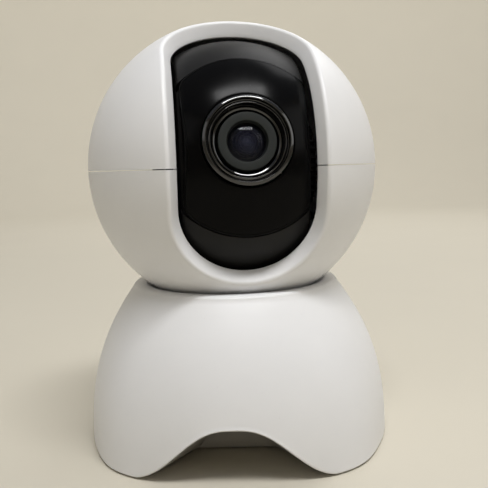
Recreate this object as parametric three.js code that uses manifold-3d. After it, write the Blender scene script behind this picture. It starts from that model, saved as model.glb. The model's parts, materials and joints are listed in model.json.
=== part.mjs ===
// Pan-tilt baby monitor camera: a ball head on a flared round base, with a lens drum tilting in the head.
// Millimetres, +Z up. The lens faces -Y, and the origin is on the pan axis at the face the camera rests on.
import * as THREE from 'three';
import { mergeVertices } from 'three/addons/utils/BufferGeometryUtils.js';
import Module from 'manifold-3d';

const wasm = await Module();
wasm.setup();

// ---- driving dimensions ----
const HEAD_CENTRE_Z = 71.5;
const HEAD_RADIUS = 38;
const HEAD_WALL = 2;
const HEAD_PAN_DEG = 9.1; // how far the head is turned on the base at rest
const PARTING_GAP = 0.2;

const OPENING_HALF_ANGLE = 28.2; // half the drum opening's width, seen from the head's centre
const OPENING_LOW_DEG = -17.9; // elevation of the centre of the opening's lower round end
const OPENING_HIGH_DEG = 57.5;
const RIM_INNER_RADIUS = 33.8;
const RIM_WALL_DEG = 2.2;
const NECK_RADIUS = 19.05;

const DRUM_RADIUS = 32.7;
const DRUM_HALF_WIDTH = 15.2;
const DRUM_WALL = 1.6;
const DRUM_BACK_Y = 10.5;
const LENS_TILT_DEG = 10.9; // how far the lens looks up at rest
const PANEL_RADIUS = 33;
const PANEL_HALF_ANGLE = 39.9;
const PANEL_THICKNESS = 1.6;
const PANEL_BORE = 10.6;

const BASE_FOOT_RADIUS = 40.2;
const BASE_FLARE = 13.2; // how much narrower the base is at its rim
const BASE_FLARE_POWER = 2.49;
const BASE_FLARE_HEIGHT = 41.3;
const BASE_BOTTOM_Z = 0.3;
const BASE_RIM_Z = 41.5;
const BASE_SHOULDER_Z = 40.4;
const BASE_WALL = 2.2;
const DISH_RADIUS = HEAD_RADIUS + 0.6;
const WELL_RADIUS = 19.5;
const WELL_FLOOR_Z = 34;
const DECK_BOTTOM_Z = 32;

const ARCH_HALF_WIDTH = 26;
const ARCH_HEIGHT = 13.9;
const ARCH_POWER = 0.9;
const PEDESTAL_RADIUS = 17.8;
const COVER_GAP = 0.4;
const COVER_WALL = 1.6;
const COVER_TOP_Z = 16;

const PAN_MODULE = 0.8;
const PAN_GEAR_TEETH = 40;
const TILT_MODULE = 0.7;
const TILT_GEAR_TEETH = 30;
const PINION_TEETH = 10;

const GAP = 0.3; // between pieces that are fixed together
const AROUND = 40; // facets round the large round pieces
const INSIDE = 20; // facets round their insides
const SMALL = 8; // facets round screws and their holes

const PAN_GEAR_Z = [27.8, 31];
const PAN_MOTOR_X = (PAN_MODULE * (PAN_GEAR_TEETH + PINION_TEETH)) / 2;
const TILT_MOTOR_Y = (TILT_MODULE * (TILT_GEAR_TEETH + PINION_TEETH)) / 2;
const ARM_INNER_X = 16.1;
const ARM_OUTER_X = 18;
const TILT_GEAR_X = [18.6, 20.8];
const EAR_SCREW_Y = 11.4;
const SPEAKER_XZ = [14, 25.5];
const SPEAKER_RADIUS = 6;
const BUTTON_XZ = [-12, 20];
const HUB_BOTTOM_Z = 26.4;
const HUB_SCREW_RADIUS = 7.3;
const HUB_SCREW_TURNS = [0, 120, 240];
const COVER_SCREWS = [[28, 10], [-28, 10], [-28, -10], [28, -10]];
const SHELL_SCREW_XY = [20, 25];
const SHELL_POST_RADIUS = 3.4;
const WING_X = 26;
const WING_Z = -13;
const POST_X = 9.5;
const POST_Z = 15.5;
const LAMP_RING_RADIUS = 12.3;
const CARD_SLOT_DEG = 75; // how far below the lens the card goes in

// ---- finishes ----
const finish = (color, roughness, metalness = 0) =>
  new THREE.MeshStandardMaterial({ color, roughness, metalness });
const FINISHES = {
  shell: () => finish('#e9e9ea', 0.45),
  graphite: () => finish('#2a2b2d', 0.7),
  gloss: () => finish('#08090b', 0.08),
  rubber: () => finish('#4a4b4d', 0.85),
  moulding: () => finish('#c9c9c6', 0.6),
  gear: () => finish('#efe9da', 0.5),
  steel: () => finish('#b4b6b9', 0.35, 0.9),
  board: () => finish('#1e5a38', 0.55),
  glass: () => finish('#12182a', 0.05),
  component: () => finish('#1b1c1f', 0.5),
};

// ---- geometry helpers ----
const radians = THREE.MathUtils.degToRad;

/** A closed three.js geometry as a solid that can be joined and cut, its faces turned outwards. */
function solid(geometry) {
  const bare = geometry.clone();
  bare.deleteAttribute('normal');
  bare.deleteAttribute('uv');
  const merged = mergeVertices(bare, 1e-4);
  const bodyWith = (triVerts) => new wasm.Manifold(new wasm.Mesh({
    numProp: 3,
    vertProperties: new Float32Array(merged.attributes.position.array),
    triVerts,
  }));
  const corners = new Uint32Array(merged.index.array);
  const body = bodyWith(corners);
  return body.volume() > 0 ? body : bodyWith(corners.reverse());
}

/** The geometry of a solid. */
function geometryOf(body) {
  const mesh = body.getMesh();
  const geometry = new THREE.BufferGeometry();
  geometry.setAttribute('position', new THREE.BufferAttribute(new Float32Array(mesh.vertProperties), 3));
  geometry.setIndex(new THREE.BufferAttribute(new Uint32Array(mesh.triVerts), 1));
  geometry.computeVertexNormals();
  return geometry;
}

const join = (...bodies) => bodies.reduce((whole, body) => whole.add(body));
const cut = (body, ...tools) => tools.reduce((rest, tool) => rest.subtract(tool), body);

const ball = (radius, around = AROUND) => {
  const geometry = new THREE.SphereGeometry(radius, around, around / 2);
  return solid(geometry.rotateX(Math.PI / 2));
};

const block = (x, y, z) => {
  const geometry = new THREE.BoxGeometry(x[1] - x[0], y[1] - y[0], z[1] - z[0]);
  return solid(geometry.translate((x[0] + x[1]) / 2, (y[0] + y[1]) / 2, (z[0] + z[1]) / 2));
};

/** A round bar along an axis, between two places on it; centre holds the other two coordinates in order. */
function rod(axis, radius, span, centre = [0, 0], around = 16) {
  const geometry = new THREE.CylinderGeometry(radius, radius, span[1] - span[0], around);
  const middle = (span[0] + span[1]) / 2;
  if (axis === 'x') geometry.rotateZ(-Math.PI / 2).translate(middle, centre[0], centre[1]);
  if (axis === 'y') geometry.translate(centre[0], middle, centre[1]);
  if (axis === 'z') geometry.rotateX(Math.PI / 2).translate(centre[0], centre[1], middle);
  return solid(geometry);
}

/** A profile of [radius, height] points turned about Z. */
function turned(profile, around = AROUND) {
  const points = profile.map(([radius, height]) => new THREE.Vector2(radius, height));
  return solid(new THREE.LatheGeometry(points, around).rotateX(Math.PI / 2));
}

/** A profile of [radius, distance forward] points turned about the lens axis, which is -Y. */
function turnedForward(profile, around = INSIDE) {
  const points = profile.map(([radius, forward]) => new THREE.Vector2(radius, forward));
  return solid(new THREE.LatheGeometry(points, around).rotateX(Math.PI));
}

/** A closed solid through a stack of rings that have the same number of points. */
function loft(rings) {
  const count = rings[0].length;
  const points = [...rings.flat()];
  const index = [];
  for (let ring = 0; ring < rings.length - 1; ring += 1) {
    for (let i = 0; i < count; i += 1) {
      const a = ring * count + i;
      const b = ring * count + ((i + 1) % count);
      index.push(a, b, b + count, a, b + count, a + count);
    }
  }
  const capRing = (start, flip) => {
    const centre = new THREE.Vector3();
    for (let i = 0; i < count; i += 1) centre.add(points[start + i]);
    points.push(centre.divideScalar(count));
    for (let i = 0; i < count; i += 1) {
      const a = start + i;
      const b = start + ((i + 1) % count);
      index.push(...(flip ? [points.length - 1, b, a] : [points.length - 1, a, b]));
    }
  };
  capRing(0, true);
  capRing((rings.length - 1) * count, false);
  const geometry = new THREE.BufferGeometry().setFromPoints(points);
  geometry.setIndex(index);
  return solid(geometry);
}

/** A flat plate from a shape drawn in X and Y, between two heights. */
function plate(shape, z) {
  const geometry = new THREE.ExtrudeGeometry(shape, { depth: z[1] - z[0], bevelEnabled: false, curveSegments: 20 });
  return solid(geometry.translate(0, 0, z[0]));
}

/** A toothed wheel about Z, with one tooth centred on the phase angle. */
function gearWheel({ teeth, module, z, phaseDeg, bore }) {
  const pitch = (2 * Math.PI) / teeth;
  const radius = (module * teeth) / 2;
  const outline = [
    [radius - 1.05 * module, -0.29],
    [radius + 0.72 * module, -0.11],
    [radius + 0.72 * module, 0.11],
    [radius - 1.05 * module, 0.29],
  ];
  const shape = new THREE.Shape();
  for (let tooth = 0; tooth < teeth; tooth += 1) {
    outline.forEach(([distance, share], corner) => {
      const angle = radians(phaseDeg) + pitch * (tooth + share);
      const place = [distance * Math.cos(angle), distance * Math.sin(angle)];
      if (tooth + corner === 0) shape.moveTo(...place);
      else shape.lineTo(...place);
    });
  }
  const wheel = plate(shape, z);
  return bore ? cut(wheel, rod('z', bore, [z[0] - 1, z[1] + 1])) : wheel;
}

/** The direction at an elevation and an angle round from it, on a cone about that elevation's direction. */
function coneDirection(elevationDeg, halfAngleDeg, turn) {
  const elevation = radians(elevationDeg);
  const half = radians(halfAngleDeg);
  const axis = new THREE.Vector3(0, -Math.cos(elevation), Math.sin(elevation));
  const up = new THREE.Vector3(0, Math.sin(elevation), Math.cos(elevation));
  const side = new THREE.Vector3(1, 0, 0);
  return axis.multiplyScalar(Math.cos(half))
    .addScaledVector(up, Math.sin(half) * Math.cos(turn))
    .addScaledVector(side, Math.sin(half) * Math.sin(turn));
}

/** The solid angle of the drum opening, as a cone from the head's centre, widened by some degrees. */
function openingCone(widenDeg) {
  const half = OPENING_HALF_ANGLE + widenDeg;
  const steps = 10;
  const rim = [];
  for (let i = 0; i <= steps; i += 1) {
    rim.push(coneDirection(OPENING_HIGH_DEG, half, -Math.PI / 2 + (Math.PI * i) / steps));
  }
  for (let i = 1; i < steps; i += 1) {
    const elevation = OPENING_HIGH_DEG + ((OPENING_LOW_DEG - OPENING_HIGH_DEG) * i) / steps;
    rim.push(coneDirection(elevation, half, Math.PI / 2));
  }
  for (let i = 0; i <= steps; i += 1) {
    rim.push(coneDirection(OPENING_LOW_DEG, half, Math.PI / 2 + (Math.PI * i) / steps));
  }
  for (let i = 1; i < steps; i += 1) {
    const elevation = OPENING_LOW_DEG + ((OPENING_HIGH_DEG - OPENING_LOW_DEG) * i) / steps;
    rim.push(coneDirection(elevation, half, -Math.PI / 2));
  }
  const near = rim.map((direction) => direction.clone().multiplyScalar(2));
  const far = rim.map((direction) => direction.clone().multiplyScalar(75));
  return loft([far, near]);
}

/** A cone about the lens axis from the head's centre. */
const lensCone = (halfAngleDeg) =>
  turnedForward([[0, 0], [60 * Math.tan(radians(halfAngleDeg)), 60], [0, 60]], AROUND);

// ---- base ----

/** The radius of the base's outside at a height. */
const baseRadius = (z) => BASE_FOOT_RADIUS - BASE_FLARE * (z / BASE_FLARE_HEIGHT) ** BASE_FLARE_POWER;

/** Points down the base's side between two heights, pulled in by an inset. */
function sideProfile(fromZ, toZ, inset, steps) {
  return Array.from({ length: steps + 1 }, (_, i) => {
    const z = fromZ + ((toZ - fromZ) * i) / steps;
    return [baseRadius(z) - inset, z];
  });
}

/** Points on a ball about the head's centre, as a dish between two radii from the axis. */
function dishProfile(ballRadius, fromRadius, toRadius, steps) {
  return Array.from({ length: steps + 1 }, (_, i) => {
    const radius = fromRadius + ((toRadius - fromRadius) * i) / steps;
    return [radius, HEAD_CENTRE_Z - Math.sqrt(ballRadius ** 2 - radius ** 2)];
  });
}

/** The arch's outline across the base at one depth, wide at the front and narrow by the pedestal. */
function archRing(y, halfWidth, height, power) {
  const steps = 12;
  const ring = [];
  for (let i = 0; i <= steps; i += 1) {
    const x = -halfWidth + (2 * halfWidth * i) / steps;
    const rise = (1 + Math.cos((Math.PI * x) / halfWidth)) / 2;
    ring.push(new THREE.Vector3(x, y, height * rise ** power));
  }
  ring.push(new THREE.Vector3(halfWidth, y, -3), new THREE.Vector3(-halfWidth, y, -3));
  return ring;
}

const baseArches = () => loft([
  archRing(-60, ARCH_HALF_WIDTH, ARCH_HEIGHT, ARCH_POWER),
  archRing(60, ARCH_HALF_WIDTH, ARCH_HEIGHT, ARCH_POWER),
]);

/** The recess behind one arch, narrowing towards the pedestal, grown by an amount. */
function archRecess(grow) {
  const inner = archRing(-PEDESTAL_RADIUS - 0.4 + grow, 10.5 + grow, 12.4 + grow, 0.6);
  const outer = archRing(-46, 32.5 + grow, ARCH_HEIGHT + 0.2 + grow, ARCH_POWER);
  return loft([outer, inner]);
}
const archRecesses = (grow) => join(archRecess(grow), archRecess(grow).rotate([0, 0, 180]));

function baseOutside() {
  const rimRadius = Math.sqrt(DISH_RADIUS ** 2 - (HEAD_CENTRE_Z - BASE_RIM_Z) ** 2);
  const shoulder = baseRadius(BASE_SHOULDER_Z);
  return turned([
    [0, BASE_BOTTOM_Z],
    [baseRadius(1) - 0.8, BASE_BOTTOM_Z],
    ...sideProfile(1.1, BASE_SHOULDER_Z, 0, 8),
    [shoulder - 0.5, BASE_RIM_Z - 0.35],
    [shoulder - 1.4, BASE_RIM_Z],
    ...dishProfile(DISH_RADIUS, rimRadius, WELL_RADIUS, 2),
    [WELL_RADIUS, WELL_FLOOR_Z],
    [0, WELL_FLOOR_Z],
  ]);
}

/** The space inside the base's shell, a wall's thickness in from its outside. */
function baseInside(wall) {
  return turned([
    [0, -1],
    [BASE_FOOT_RADIUS - wall, -1],
    ...sideProfile(8, 37, wall, 4),
    [28.7 - wall, 40.8 - wall],
    ...dishProfile(DISH_RADIUS + wall, 24.3, WELL_RADIUS + wall, 2),
    [WELL_RADIUS + wall, DECK_BOTTOM_Z],
    [0, DECK_BOTTOM_Z],
  ]);
}

/** A post for a cover screw with a rib that ties it to the base's wall. */
function coverPost([x, y]) {
  const rib = solid(new THREE.BoxGeometry(12, 1.6, 14)
    .translate(6, 0, 0)
    .rotateZ(Math.atan2(y, x))
    .translate(x, y, 24));
  return join(rod('z', 2.6, [COVER_TOP_Z + GAP, 32], [x, y]), rib);
}

function speakerHoles() {
  const holes = [];
  for (let ring = 0; ring < 2; ring += 1) {
    const count = ring === 0 ? 1 : 6 * ring;
    for (let i = 0; i < count; i += 1) {
      const angle = (2 * Math.PI * i) / count;
      const [x, z] = SPEAKER_XZ;
      const place = [x + 3 * ring * Math.cos(angle), z + 3 * ring * Math.sin(angle)];
      holes.push(rod('y', 0.8, [28, 45], place, 6));
    }
  }
  return join(...holes);
}

function baseShell() {
  const collar = cut(
    rod('y', SPEAKER_RADIUS + 1.4, [24, 45], SPEAKER_XZ),
    rod('y', SPEAKER_RADIUS + GAP, [20, 45], SPEAKER_XZ),
  );
  const motorPosts = [-1, 1].map((side) => rod('z', 2.2, [26.9, 38.2], [PAN_MOTOR_X, side * EAR_SCREW_Y]));
  const wall = cut(baseOutside(), baseInside(BASE_WALL), baseArches());
  const fittings = join(collar, ...motorPosts, ...COVER_SCREWS.map(coverPost));
  const inside = fittings.intersect(baseInside(BASE_WALL / 2));
  return cut(
    join(wall, inside),
    rod('z', 9.5, [20, 40]),
    block([-4.4, 4.4], [28, 45], [18.3, 21.9]),
    rod('y', 1.8, [30, 45], BUTTON_XZ),
    speakerHoles(),
    ...COVER_SCREWS.map((place) => rod('z', 1.35, [10, 24.5], place, SMALL)),
    ...[-1, 1].map((side) => rod('z', 1.15, [20, 33.5], [PAN_MOTOR_X, side * EAR_SCREW_Y], SMALL)),
  );
}

function bottomCover() {
  const outside = turned([
    [0, 1], [PEDESTAL_RADIUS, 1], [PEDESTAL_RADIUS, 0.5],
    ...sideProfile(0.5, COVER_TOP_Z, BASE_WALL + COVER_GAP, 4),
    [0, COVER_TOP_Z],
  ]);
  const inside = turned([
    [0, 1 + COVER_WALL],
    ...sideProfile(1 + COVER_WALL, COVER_TOP_Z + 1, BASE_WALL + COVER_GAP + COVER_WALL, 4),
    [0, COVER_TOP_Z + 1],
  ]);
  const posts = COVER_SCREWS.map((place) => rod('z', 3.2, [1, COVER_TOP_Z], place));
  const tray = cut(outside, cut(inside, archRecesses(COVER_WALL)));
  return cut(
    join(tray, ...posts),
    archRecesses(0),
    ...COVER_SCREWS.map((place) => rod('z', 1.35, [0, 20], place, SMALL)),
    ...COVER_SCREWS.map((place) => rod('z', 2.5, [0, 4], place, SMALL)),
  );
}

const screw = (place, headZ, tipZ, radius = 1.1) => {
  const up = Math.sign(tipZ - headZ);
  const neck = headZ + 1.3 * up;
  const ordered = (a, b) => [Math.min(a, b), Math.max(a, b)];
  const head = rod('z', 2 * radius, ordered(headZ, neck), place, SMALL);
  return join(head, rod('z', radius, ordered(neck - 0.2 * up, tipZ), place, SMALL));
};

function panMotor() {
  const can = rod('z', 9, [17.5, 26.6], [PAN_MOTOR_X, 0], 32);
  const ears = block([PAN_MOTOR_X - 3.2, PAN_MOTOR_X + 3.2], [-14, 14], [25.2, 26.6]);
  return cut(
    join(can, ears),
    rod('z', 1.3, [19, 30], [PAN_MOTOR_X, 0], SMALL),
    ...[-1, 1].map((side) => rod('z', 1.4, [24, 28], [PAN_MOTOR_X, side * EAR_SCREW_Y], SMALL)),
  );
}

function powerSocket() {
  return cut(
    block([-4, 4], [29, 37], [18.7, 21.5]),
    cut(block([-3.4, 3.4], [31, 38], [19.2, 21]), block([-2.6, 2.6], [30, 36.3], [19.8, 20.3])),
  );
}

function panPinion() {
  const wheel = gearWheel({ teeth: PINION_TEETH, module: PAN_MODULE, z: PAN_GEAR_Z, phaseDeg: 18 });
  return join(wheel, rod('z', 1, [20, 31.4], [0, 0], SMALL)).translate([PAN_MOTOR_X, 0, 0]);
}

// ---- head, about its own centre, facing -Y ----

const tapSpan = (z, side) => (side > 0 ? [PARTING_GAP / 2 + GAP, z] : [-z, -PARTING_GAP / 2 - GAP]);

/** One half of the head's shell: side is +1 for the upper half and -1 for the lower. */
function headHalf(side) {
  const inside = cut(ball(HEAD_RADIUS - HEAD_WALL, INSIDE), openingCone(RIM_WALL_DEG));
  const cavity = join(inside, ball(RIM_INNER_RADIUS, INSIDE));
  const half = side > 0
    ? block([-50, 50], [-50, 50], [PARTING_GAP / 2, 50])
    : block([-50, 50], [-50, 50], [-50, -PARTING_GAP / 2]);
  const wall = cut(ball(HEAD_RADIUS), cavity, openingCone(0)).intersect(half);
  const posts = [-1, 1].map((hand) =>
    rod('z', SHELL_POST_RADIUS, tapSpan(20, side), [hand * SHELL_SCREW_XY[0], SHELL_SCREW_XY[1]]));
  return { wall, posts };
}

function headUpperShell() {
  const { wall, posts } = headHalf(1);
  const held = join(...posts).intersect(ball(HEAD_RADIUS - 1));
  return cut(
    join(wall, held),
    ...[-1, 1].map((hand) =>
      rod('z', 1.3, [-1, 10], [hand * SHELL_SCREW_XY[0], SHELL_SCREW_XY[1]], SMALL)),
  );
}

function headLowerShell() {
  const { wall, posts } = headHalf(-1);
  const wingPosts = [-1, 1].map((hand) => rod('z', 2.6, [-30, WING_Z - 1.6 - GAP], [hand * WING_X, 0]));
  const held = join(...posts, ...wingPosts).intersect(ball(HEAD_RADIUS - 1));
  return cut(
    join(wall, held),
    rod('z', NECK_RADIUS, [-60, -20], [0, 0], AROUND).rotate([0, 0, 3]),
    ...[-1, 1].flatMap((hand) => [
      rod('z', 1.4, [-40, 1], [hand * SHELL_SCREW_XY[0], SHELL_SCREW_XY[1]], SMALL),
      rod('z', 2.4, [-40, -10.5], [hand * SHELL_SCREW_XY[0], SHELL_SCREW_XY[1]], SMALL),
      rod('z', 1.3, [-23, -10], [hand * WING_X, 0], SMALL),
    ]),
  );
}

/** One side plate of the yoke, drawn in Y and Z and cut from a flat sheet. */
function yokeArm(hand) {
  const shape = new THREE.Shape();
  shape.moveTo(-4.6, -34.4);
  shape.lineTo(4.6, -34.4);
  shape.lineTo(6, -16);
  shape.lineTo(20, -12);
  shape.lineTo(20, 12);
  shape.lineTo(0, 12);
  shape.lineTo(-7, 5);
  shape.lineTo(-7, -16);
  const flat = new THREE.ExtrudeGeometry(shape, { depth: ARM_OUTER_X - ARM_INNER_X, bevelEnabled: false });
  flat.rotateX(Math.PI / 2).rotateZ(Math.PI / 2).translate(ARM_INNER_X, 0, 0);
  const arm = solid(flat);
  return hand > 0 ? arm : arm.mirror([1, 0, 0]);
}

function yoke() {
  const disc = rod('z', NECK_RADIUS - 0.4, [-36.6, -33.4], [0, 0], AROUND);
  const wings = [-1, 1].map((hand) => {
    const x = hand > 0 ? [ARM_OUTER_X - 0.5, WING_X + 3] : [-WING_X - 3, -ARM_OUTER_X + 0.5];
    return block(x, [-4, 4], [WING_Z - 1.6, WING_Z]);
  });
  const motorPosts = [-1, 1].map((side) =>
    rod('x', 1.9, [ARM_OUTER_X - 0.5, 21.3], [TILT_MOTOR_Y, side * 9.6]));
  return cut(
    join(disc, yokeArm(1), yokeArm(-1), ...wings, ...motorPosts),
    rod('x', 2.65, [-30, 30], [0, 0], 32),
    rod('z', 5.5, [-40, -30]),
    rod('x', 0.95, [15, 23], [TILT_MOTOR_Y, 9.6], SMALL),
    rod('x', 0.95, [15, 23], [TILT_MOTOR_Y, -9.6], SMALL),
    ...[-1, 1].map((hand) => rod('z', 1.4, [WING_Z - 3, WING_Z + 2], [hand * WING_X, 0], SMALL)),
    ...HUB_SCREW_TURNS.map((turn) =>
      rod('z', 1.25, [-40, -34.6], [HUB_SCREW_RADIUS, 0], SMALL).rotate([0, 0, turn])),
  );
}

/** The hollow shaft under the yoke that carries the pan gear through the base's deck. */
function panHub() {
  const bottom = HUB_BOTTOM_Z - HEAD_CENTRE_Z;
  const sleeve = turned([
    [5.5, -36.9], [9.1, -36.9], [9.1, bottom + 1.1], [11, bottom + 1.1], [11, bottom], [5.5, bottom], [5.5, -36.9],
  ], INSIDE);
  return cut(sleeve, ...HUB_SCREW_TURNS.map((turn) =>
    rod('z', 1.3, [-60, -30], [HUB_SCREW_RADIUS, 0], SMALL).rotate([0, 0, turn])));
}

const panGear = () => gearWheel({
  teeth: PAN_GEAR_TEETH,
  module: PAN_MODULE,
  z: PAN_GEAR_Z.map((z) => z - HEAD_CENTRE_Z),
  phaseDeg: -HEAD_PAN_DEG,
  bore: 9.4,
});

function tiltMotor() {
  const can = rod('x', 7.4, [21.7, 28.4], [TILT_MOTOR_Y, 0], 32);
  const ears = block([21.7, 23], [TILT_MOTOR_Y - 2.4, TILT_MOTOR_Y + 2.4], [-12, 12]);
  return cut(
    join(can, ears),
    rod('x', 1.3, [20, 27], [TILT_MOTOR_Y, 0], SMALL),
    ...[-1, 1].map((side) => rod('x', 1.2, [21, 24], [TILT_MOTOR_Y, side * 9.6], SMALL)),
  );
}

const tiltMotorScrew = (side) => join(
  rod('x', 1.8, [23.2, 24.4], [TILT_MOTOR_Y, side * 9.6], SMALL),
  rod('x', 0.8, [18.5, 23.4], [TILT_MOTOR_Y, side * 9.6], SMALL),
);

/** Turns a wheel made about Z to lie about X, keeping an angle from +Y towards +Z. */
const ontoSideAxis = (wheel) => wheel.rotate([0, 90, 0]).rotate([90, 0, 0]);

function tiltPinion() {
  const wheel = gearWheel({ teeth: PINION_TEETH, module: TILT_MODULE, z: TILT_GEAR_X, phaseDeg: 18 });
  const shaft = rod('z', 1, [18.4, 26], [0, 0], SMALL);
  return ontoSideAxis(join(wheel, shaft)).translate([0, TILT_MOTOR_Y, 0]);
}

// ---- lens drum, about the head's centre, lens along -Y ----

const drumSlab = (halfWidth) => block([-halfWidth, halfWidth], [-60, 60], [-60, 60]);

function drumHousing() {
  const outside = ball(DRUM_RADIUS).intersect(drumSlab(DRUM_HALF_WIDTH));
  const panelSeat = cut(lensCone(PANEL_HALF_ANGLE + 0.5), ball(PANEL_RADIUS - PANEL_THICKNESS - 0.2, INSIDE));
  const seatFloor = cut(lensCone(PANEL_HALF_ANGLE + 3), ball(DRUM_RADIUS - 2 * DRUM_WALL, INSIDE));
  const hollow = cut(ball(DRUM_RADIUS - DRUM_WALL, INSIDE), seatFloor)
    .intersect(drumSlab(DRUM_HALF_WIDTH - DRUM_WALL));
  const posts = [-1, 1].flatMap((x) => [-1, 1].map((z) =>
    rod('y', 1.8, [-23.7, -9.7], [x * POST_X, z * POST_Z], SMALL)));
  const bearings = [-1, 1].map((hand) =>
    rod('x', 4.4, hand > 0 ? [12.4, 14] : [-14, -12.4], [0, 0], 24));
  const shell = cut(outside, panelSeat, hollow, block([-50, 50], [DRUM_BACK_Y, 60], [-60, 60]));
  return cut(
    join(shell, ...posts, ...bearings),
    rod('y', 11.2, [-50, -24], [0, 0], 40),
    rod('x', 2.7, [-30, 30], [0, 0], 32),
    block([-6.2, 6.2], [-40, -25], [-1.1, 1.1]).rotate([CARD_SLOT_DEG, 0, 0]),
    ...lampPlaces().map(([x, z]) => rod('y', 2, [-40, -24], [x, z], SMALL)),
    ...[-1, 1].flatMap((x) => [-1, 1].map((z) => rod('y', 0.95, [-16, -9], [x * POST_X, z * POST_Z], SMALL))),
  );
}

function frontPanel() {
  const cap = cut(ball(PANEL_RADIUS).intersect(lensCone(PANEL_HALF_ANGLE)), ball(PANEL_RADIUS - PANEL_THICKNESS));
  return cut(cap.intersect(drumSlab(DRUM_HALF_WIDTH - 0.3)), rod('y', PANEL_BORE, [-50, -20], [0, 0], 40));
}

const lensBezel = () => turnedForward([
  [10.3, 29.4], [10.3, 31.9], [9.95, 32.3], [9.6, 31.9], [9.2, 31.4], [8.9, 31.7], [8.6, 31.3],
  [7.7, 29.9], [7.1, 28.6], [7.1, 27], [8.6, 27], [9, 29.4], [10.3, 29.4],
]);

const lensBarrel = () => turnedForward([
  [4.8, 30.9], [6.7, 30.9], [6.7, 27.4], [5.9, 27], [5.9, 16], [4.3, 16], [4.3, 27.5], [4.8, 27.5], [4.8, 30.9],
]);

const frontLens = () => turnedForward([
  [0, 31.4], [1.6, 31.25], [3.2, 30.8], [4.5, 30.1], [4.5, 28], [0, 28],
], 32);

const innerLens = () => turnedForward([[0, 21.4], [2.4, 21.1], [4, 20.4], [4, 18], [0, 18.3]], 24);

const lensHolder = () => cut(
  join(rod('y', 8.2, [-23.6, -9.7], [0, 0], 32), block([-9.4, 9.4], [-11.6, -9.7], [-9.4, 9.4])),
  rod('y', 6.2, [-30, -5], [0, 0], 32),
);

/** Places of the infrared lamps and, last, of the light sensor, round the lens. */
function lampPlaces() {
  return [30, 90, 150, 210, 330, 270].map((turn) =>
    [LAMP_RING_RADIUS * Math.cos(radians(turn)), LAMP_RING_RADIUS * Math.sin(radians(turn))]);
}

function lampBoard() {
  const disc = rod('y', 14.2, [-25.1, -24], [0, 0], INSIDE).intersect(drumSlab(13));
  return cut(disc, rod('y', 9.6, [-30, -20], [0, 0], 32));
}

const infraredLamp = ([x, z]) => join(
  rod('y', 1.6, [-26.6, -25.3], [x, z], SMALL),
  rod('y', 1.2, [-27.2, -26.4], [x, z], SMALL),
);

function sensorBoard() {
  const board = block([-12, 12], [-9.4, -8.2], [-17.5, 17.5]);
  return cut(board, ...[-1, 1].flatMap((x) => [-1, 1].map((z) =>
    rod('y', 1.2, [-12, -6], [x * POST_X, z * POST_Z], SMALL))));
}

const boardScrew = (x, z) => join(
  rod('y', 1.8, [-8, -6.9], [x * POST_X, z * POST_Z], SMALL),
  rod('y', 0.8, [-14, -7.2], [x * POST_X, z * POST_Z], SMALL),
);

const heatSpreader = () => join(
  block([-8, 8], [-3.1, -1.8], [-12, 12]),
  ...[-2, -1, 0, 1, 2].map((fin) => block([-8, 8], [-2, 1], [fin * 5 - 0.6, fin * 5 + 0.6])),
);

const cardSlot = () => cut(
  block([-7.2, 7.2], [-29.6, -17], [-1.6, 1.6]),
  block([-6, 6], [-32, -18], [-0.8, 0.8]),
).rotate([CARD_SLOT_DEG, 0, 0]);

const tiltShaft = (hand) => rod('x', 2.5, hand > 0 ? [12.2, 21.4] : [-21.4, -12.2], [0, 0], 32);

const tiltGear = () => ontoSideAxis(gearWheel({
  teeth: TILT_GEAR_TEETH,
  module: TILT_MODULE,
  z: TILT_GEAR_X,
  phaseDeg: LENS_TILT_DEG,
  bore: 2.8,
}));

// ---- assembly ----

/** Adds a named mesh of a solid to a group. */
function place(group, name, body, finishName) {
  const mesh = new THREE.Mesh(geometryOf(body), FINISHES[finishName]());
  mesh.name = name;
  group.add(mesh);
}

function buildBase(group) {
  place(group, 'base_shell', baseShell(), 'shell');
  place(group, 'bottom_cover', bottomCover(), 'moulding');
  place(group, 'foot_disc', rod('z', PEDESTAL_RADIUS - 0.4, [0, 0.8], [0, 0], AROUND), 'rubber');
  place(group, 'turntable_washer', turned([[10, 34.15], [18, 34.15], [18, 34.75], [10, 34.75], [10, 34.15]], 40),
    'gear');
  place(group, 'pan_motor', panMotor(), 'steel');
  [-1, 1].forEach((side, i) => {
    place(group, `pan_motor_screw_${i + 1}`, screw([PAN_MOTOR_X, side * EAR_SCREW_Y], 23.7, 32, 1), 'steel');
  });
  place(group, 'power_board', join(block([-18, 9], [-4, 29], [17, 18.4]), block([-6, 6], [28, 34.8], [17, 18.4])),
    'board');
  place(group, 'power_socket', powerSocket(), 'steel');
  place(group, 'reset_switch', join(block([-14.6, -9.4], [24.5, 28.6], [18.7, 22]),
    rod('y', 0.9, [28, 29.6], BUTTON_XZ, SMALL)), 'component');
  place(group, 'speaker', join(
    rod('y', SPEAKER_RADIUS, [22, 25.7], SPEAKER_XZ),
    rod('y', 3.6, [20, 22.5], SPEAKER_XZ),
  ), 'component');
  COVER_SCREWS.forEach((xy, i) => place(group, `cover_screw_${i + 1}`, screw(xy, 2.2, 23.5), 'steel'));
  place(group, 'reset_button', join(
    rod('y', 1.5, [30.2, 36.3], BUTTON_XZ, SMALL * 2),
    rod('y', 2.4, [30.6, 31.5], BUTTON_XZ, SMALL * 2),
  ), 'rubber');
  place(group, 'pan_pinion', panPinion(), 'gear');
}

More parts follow.
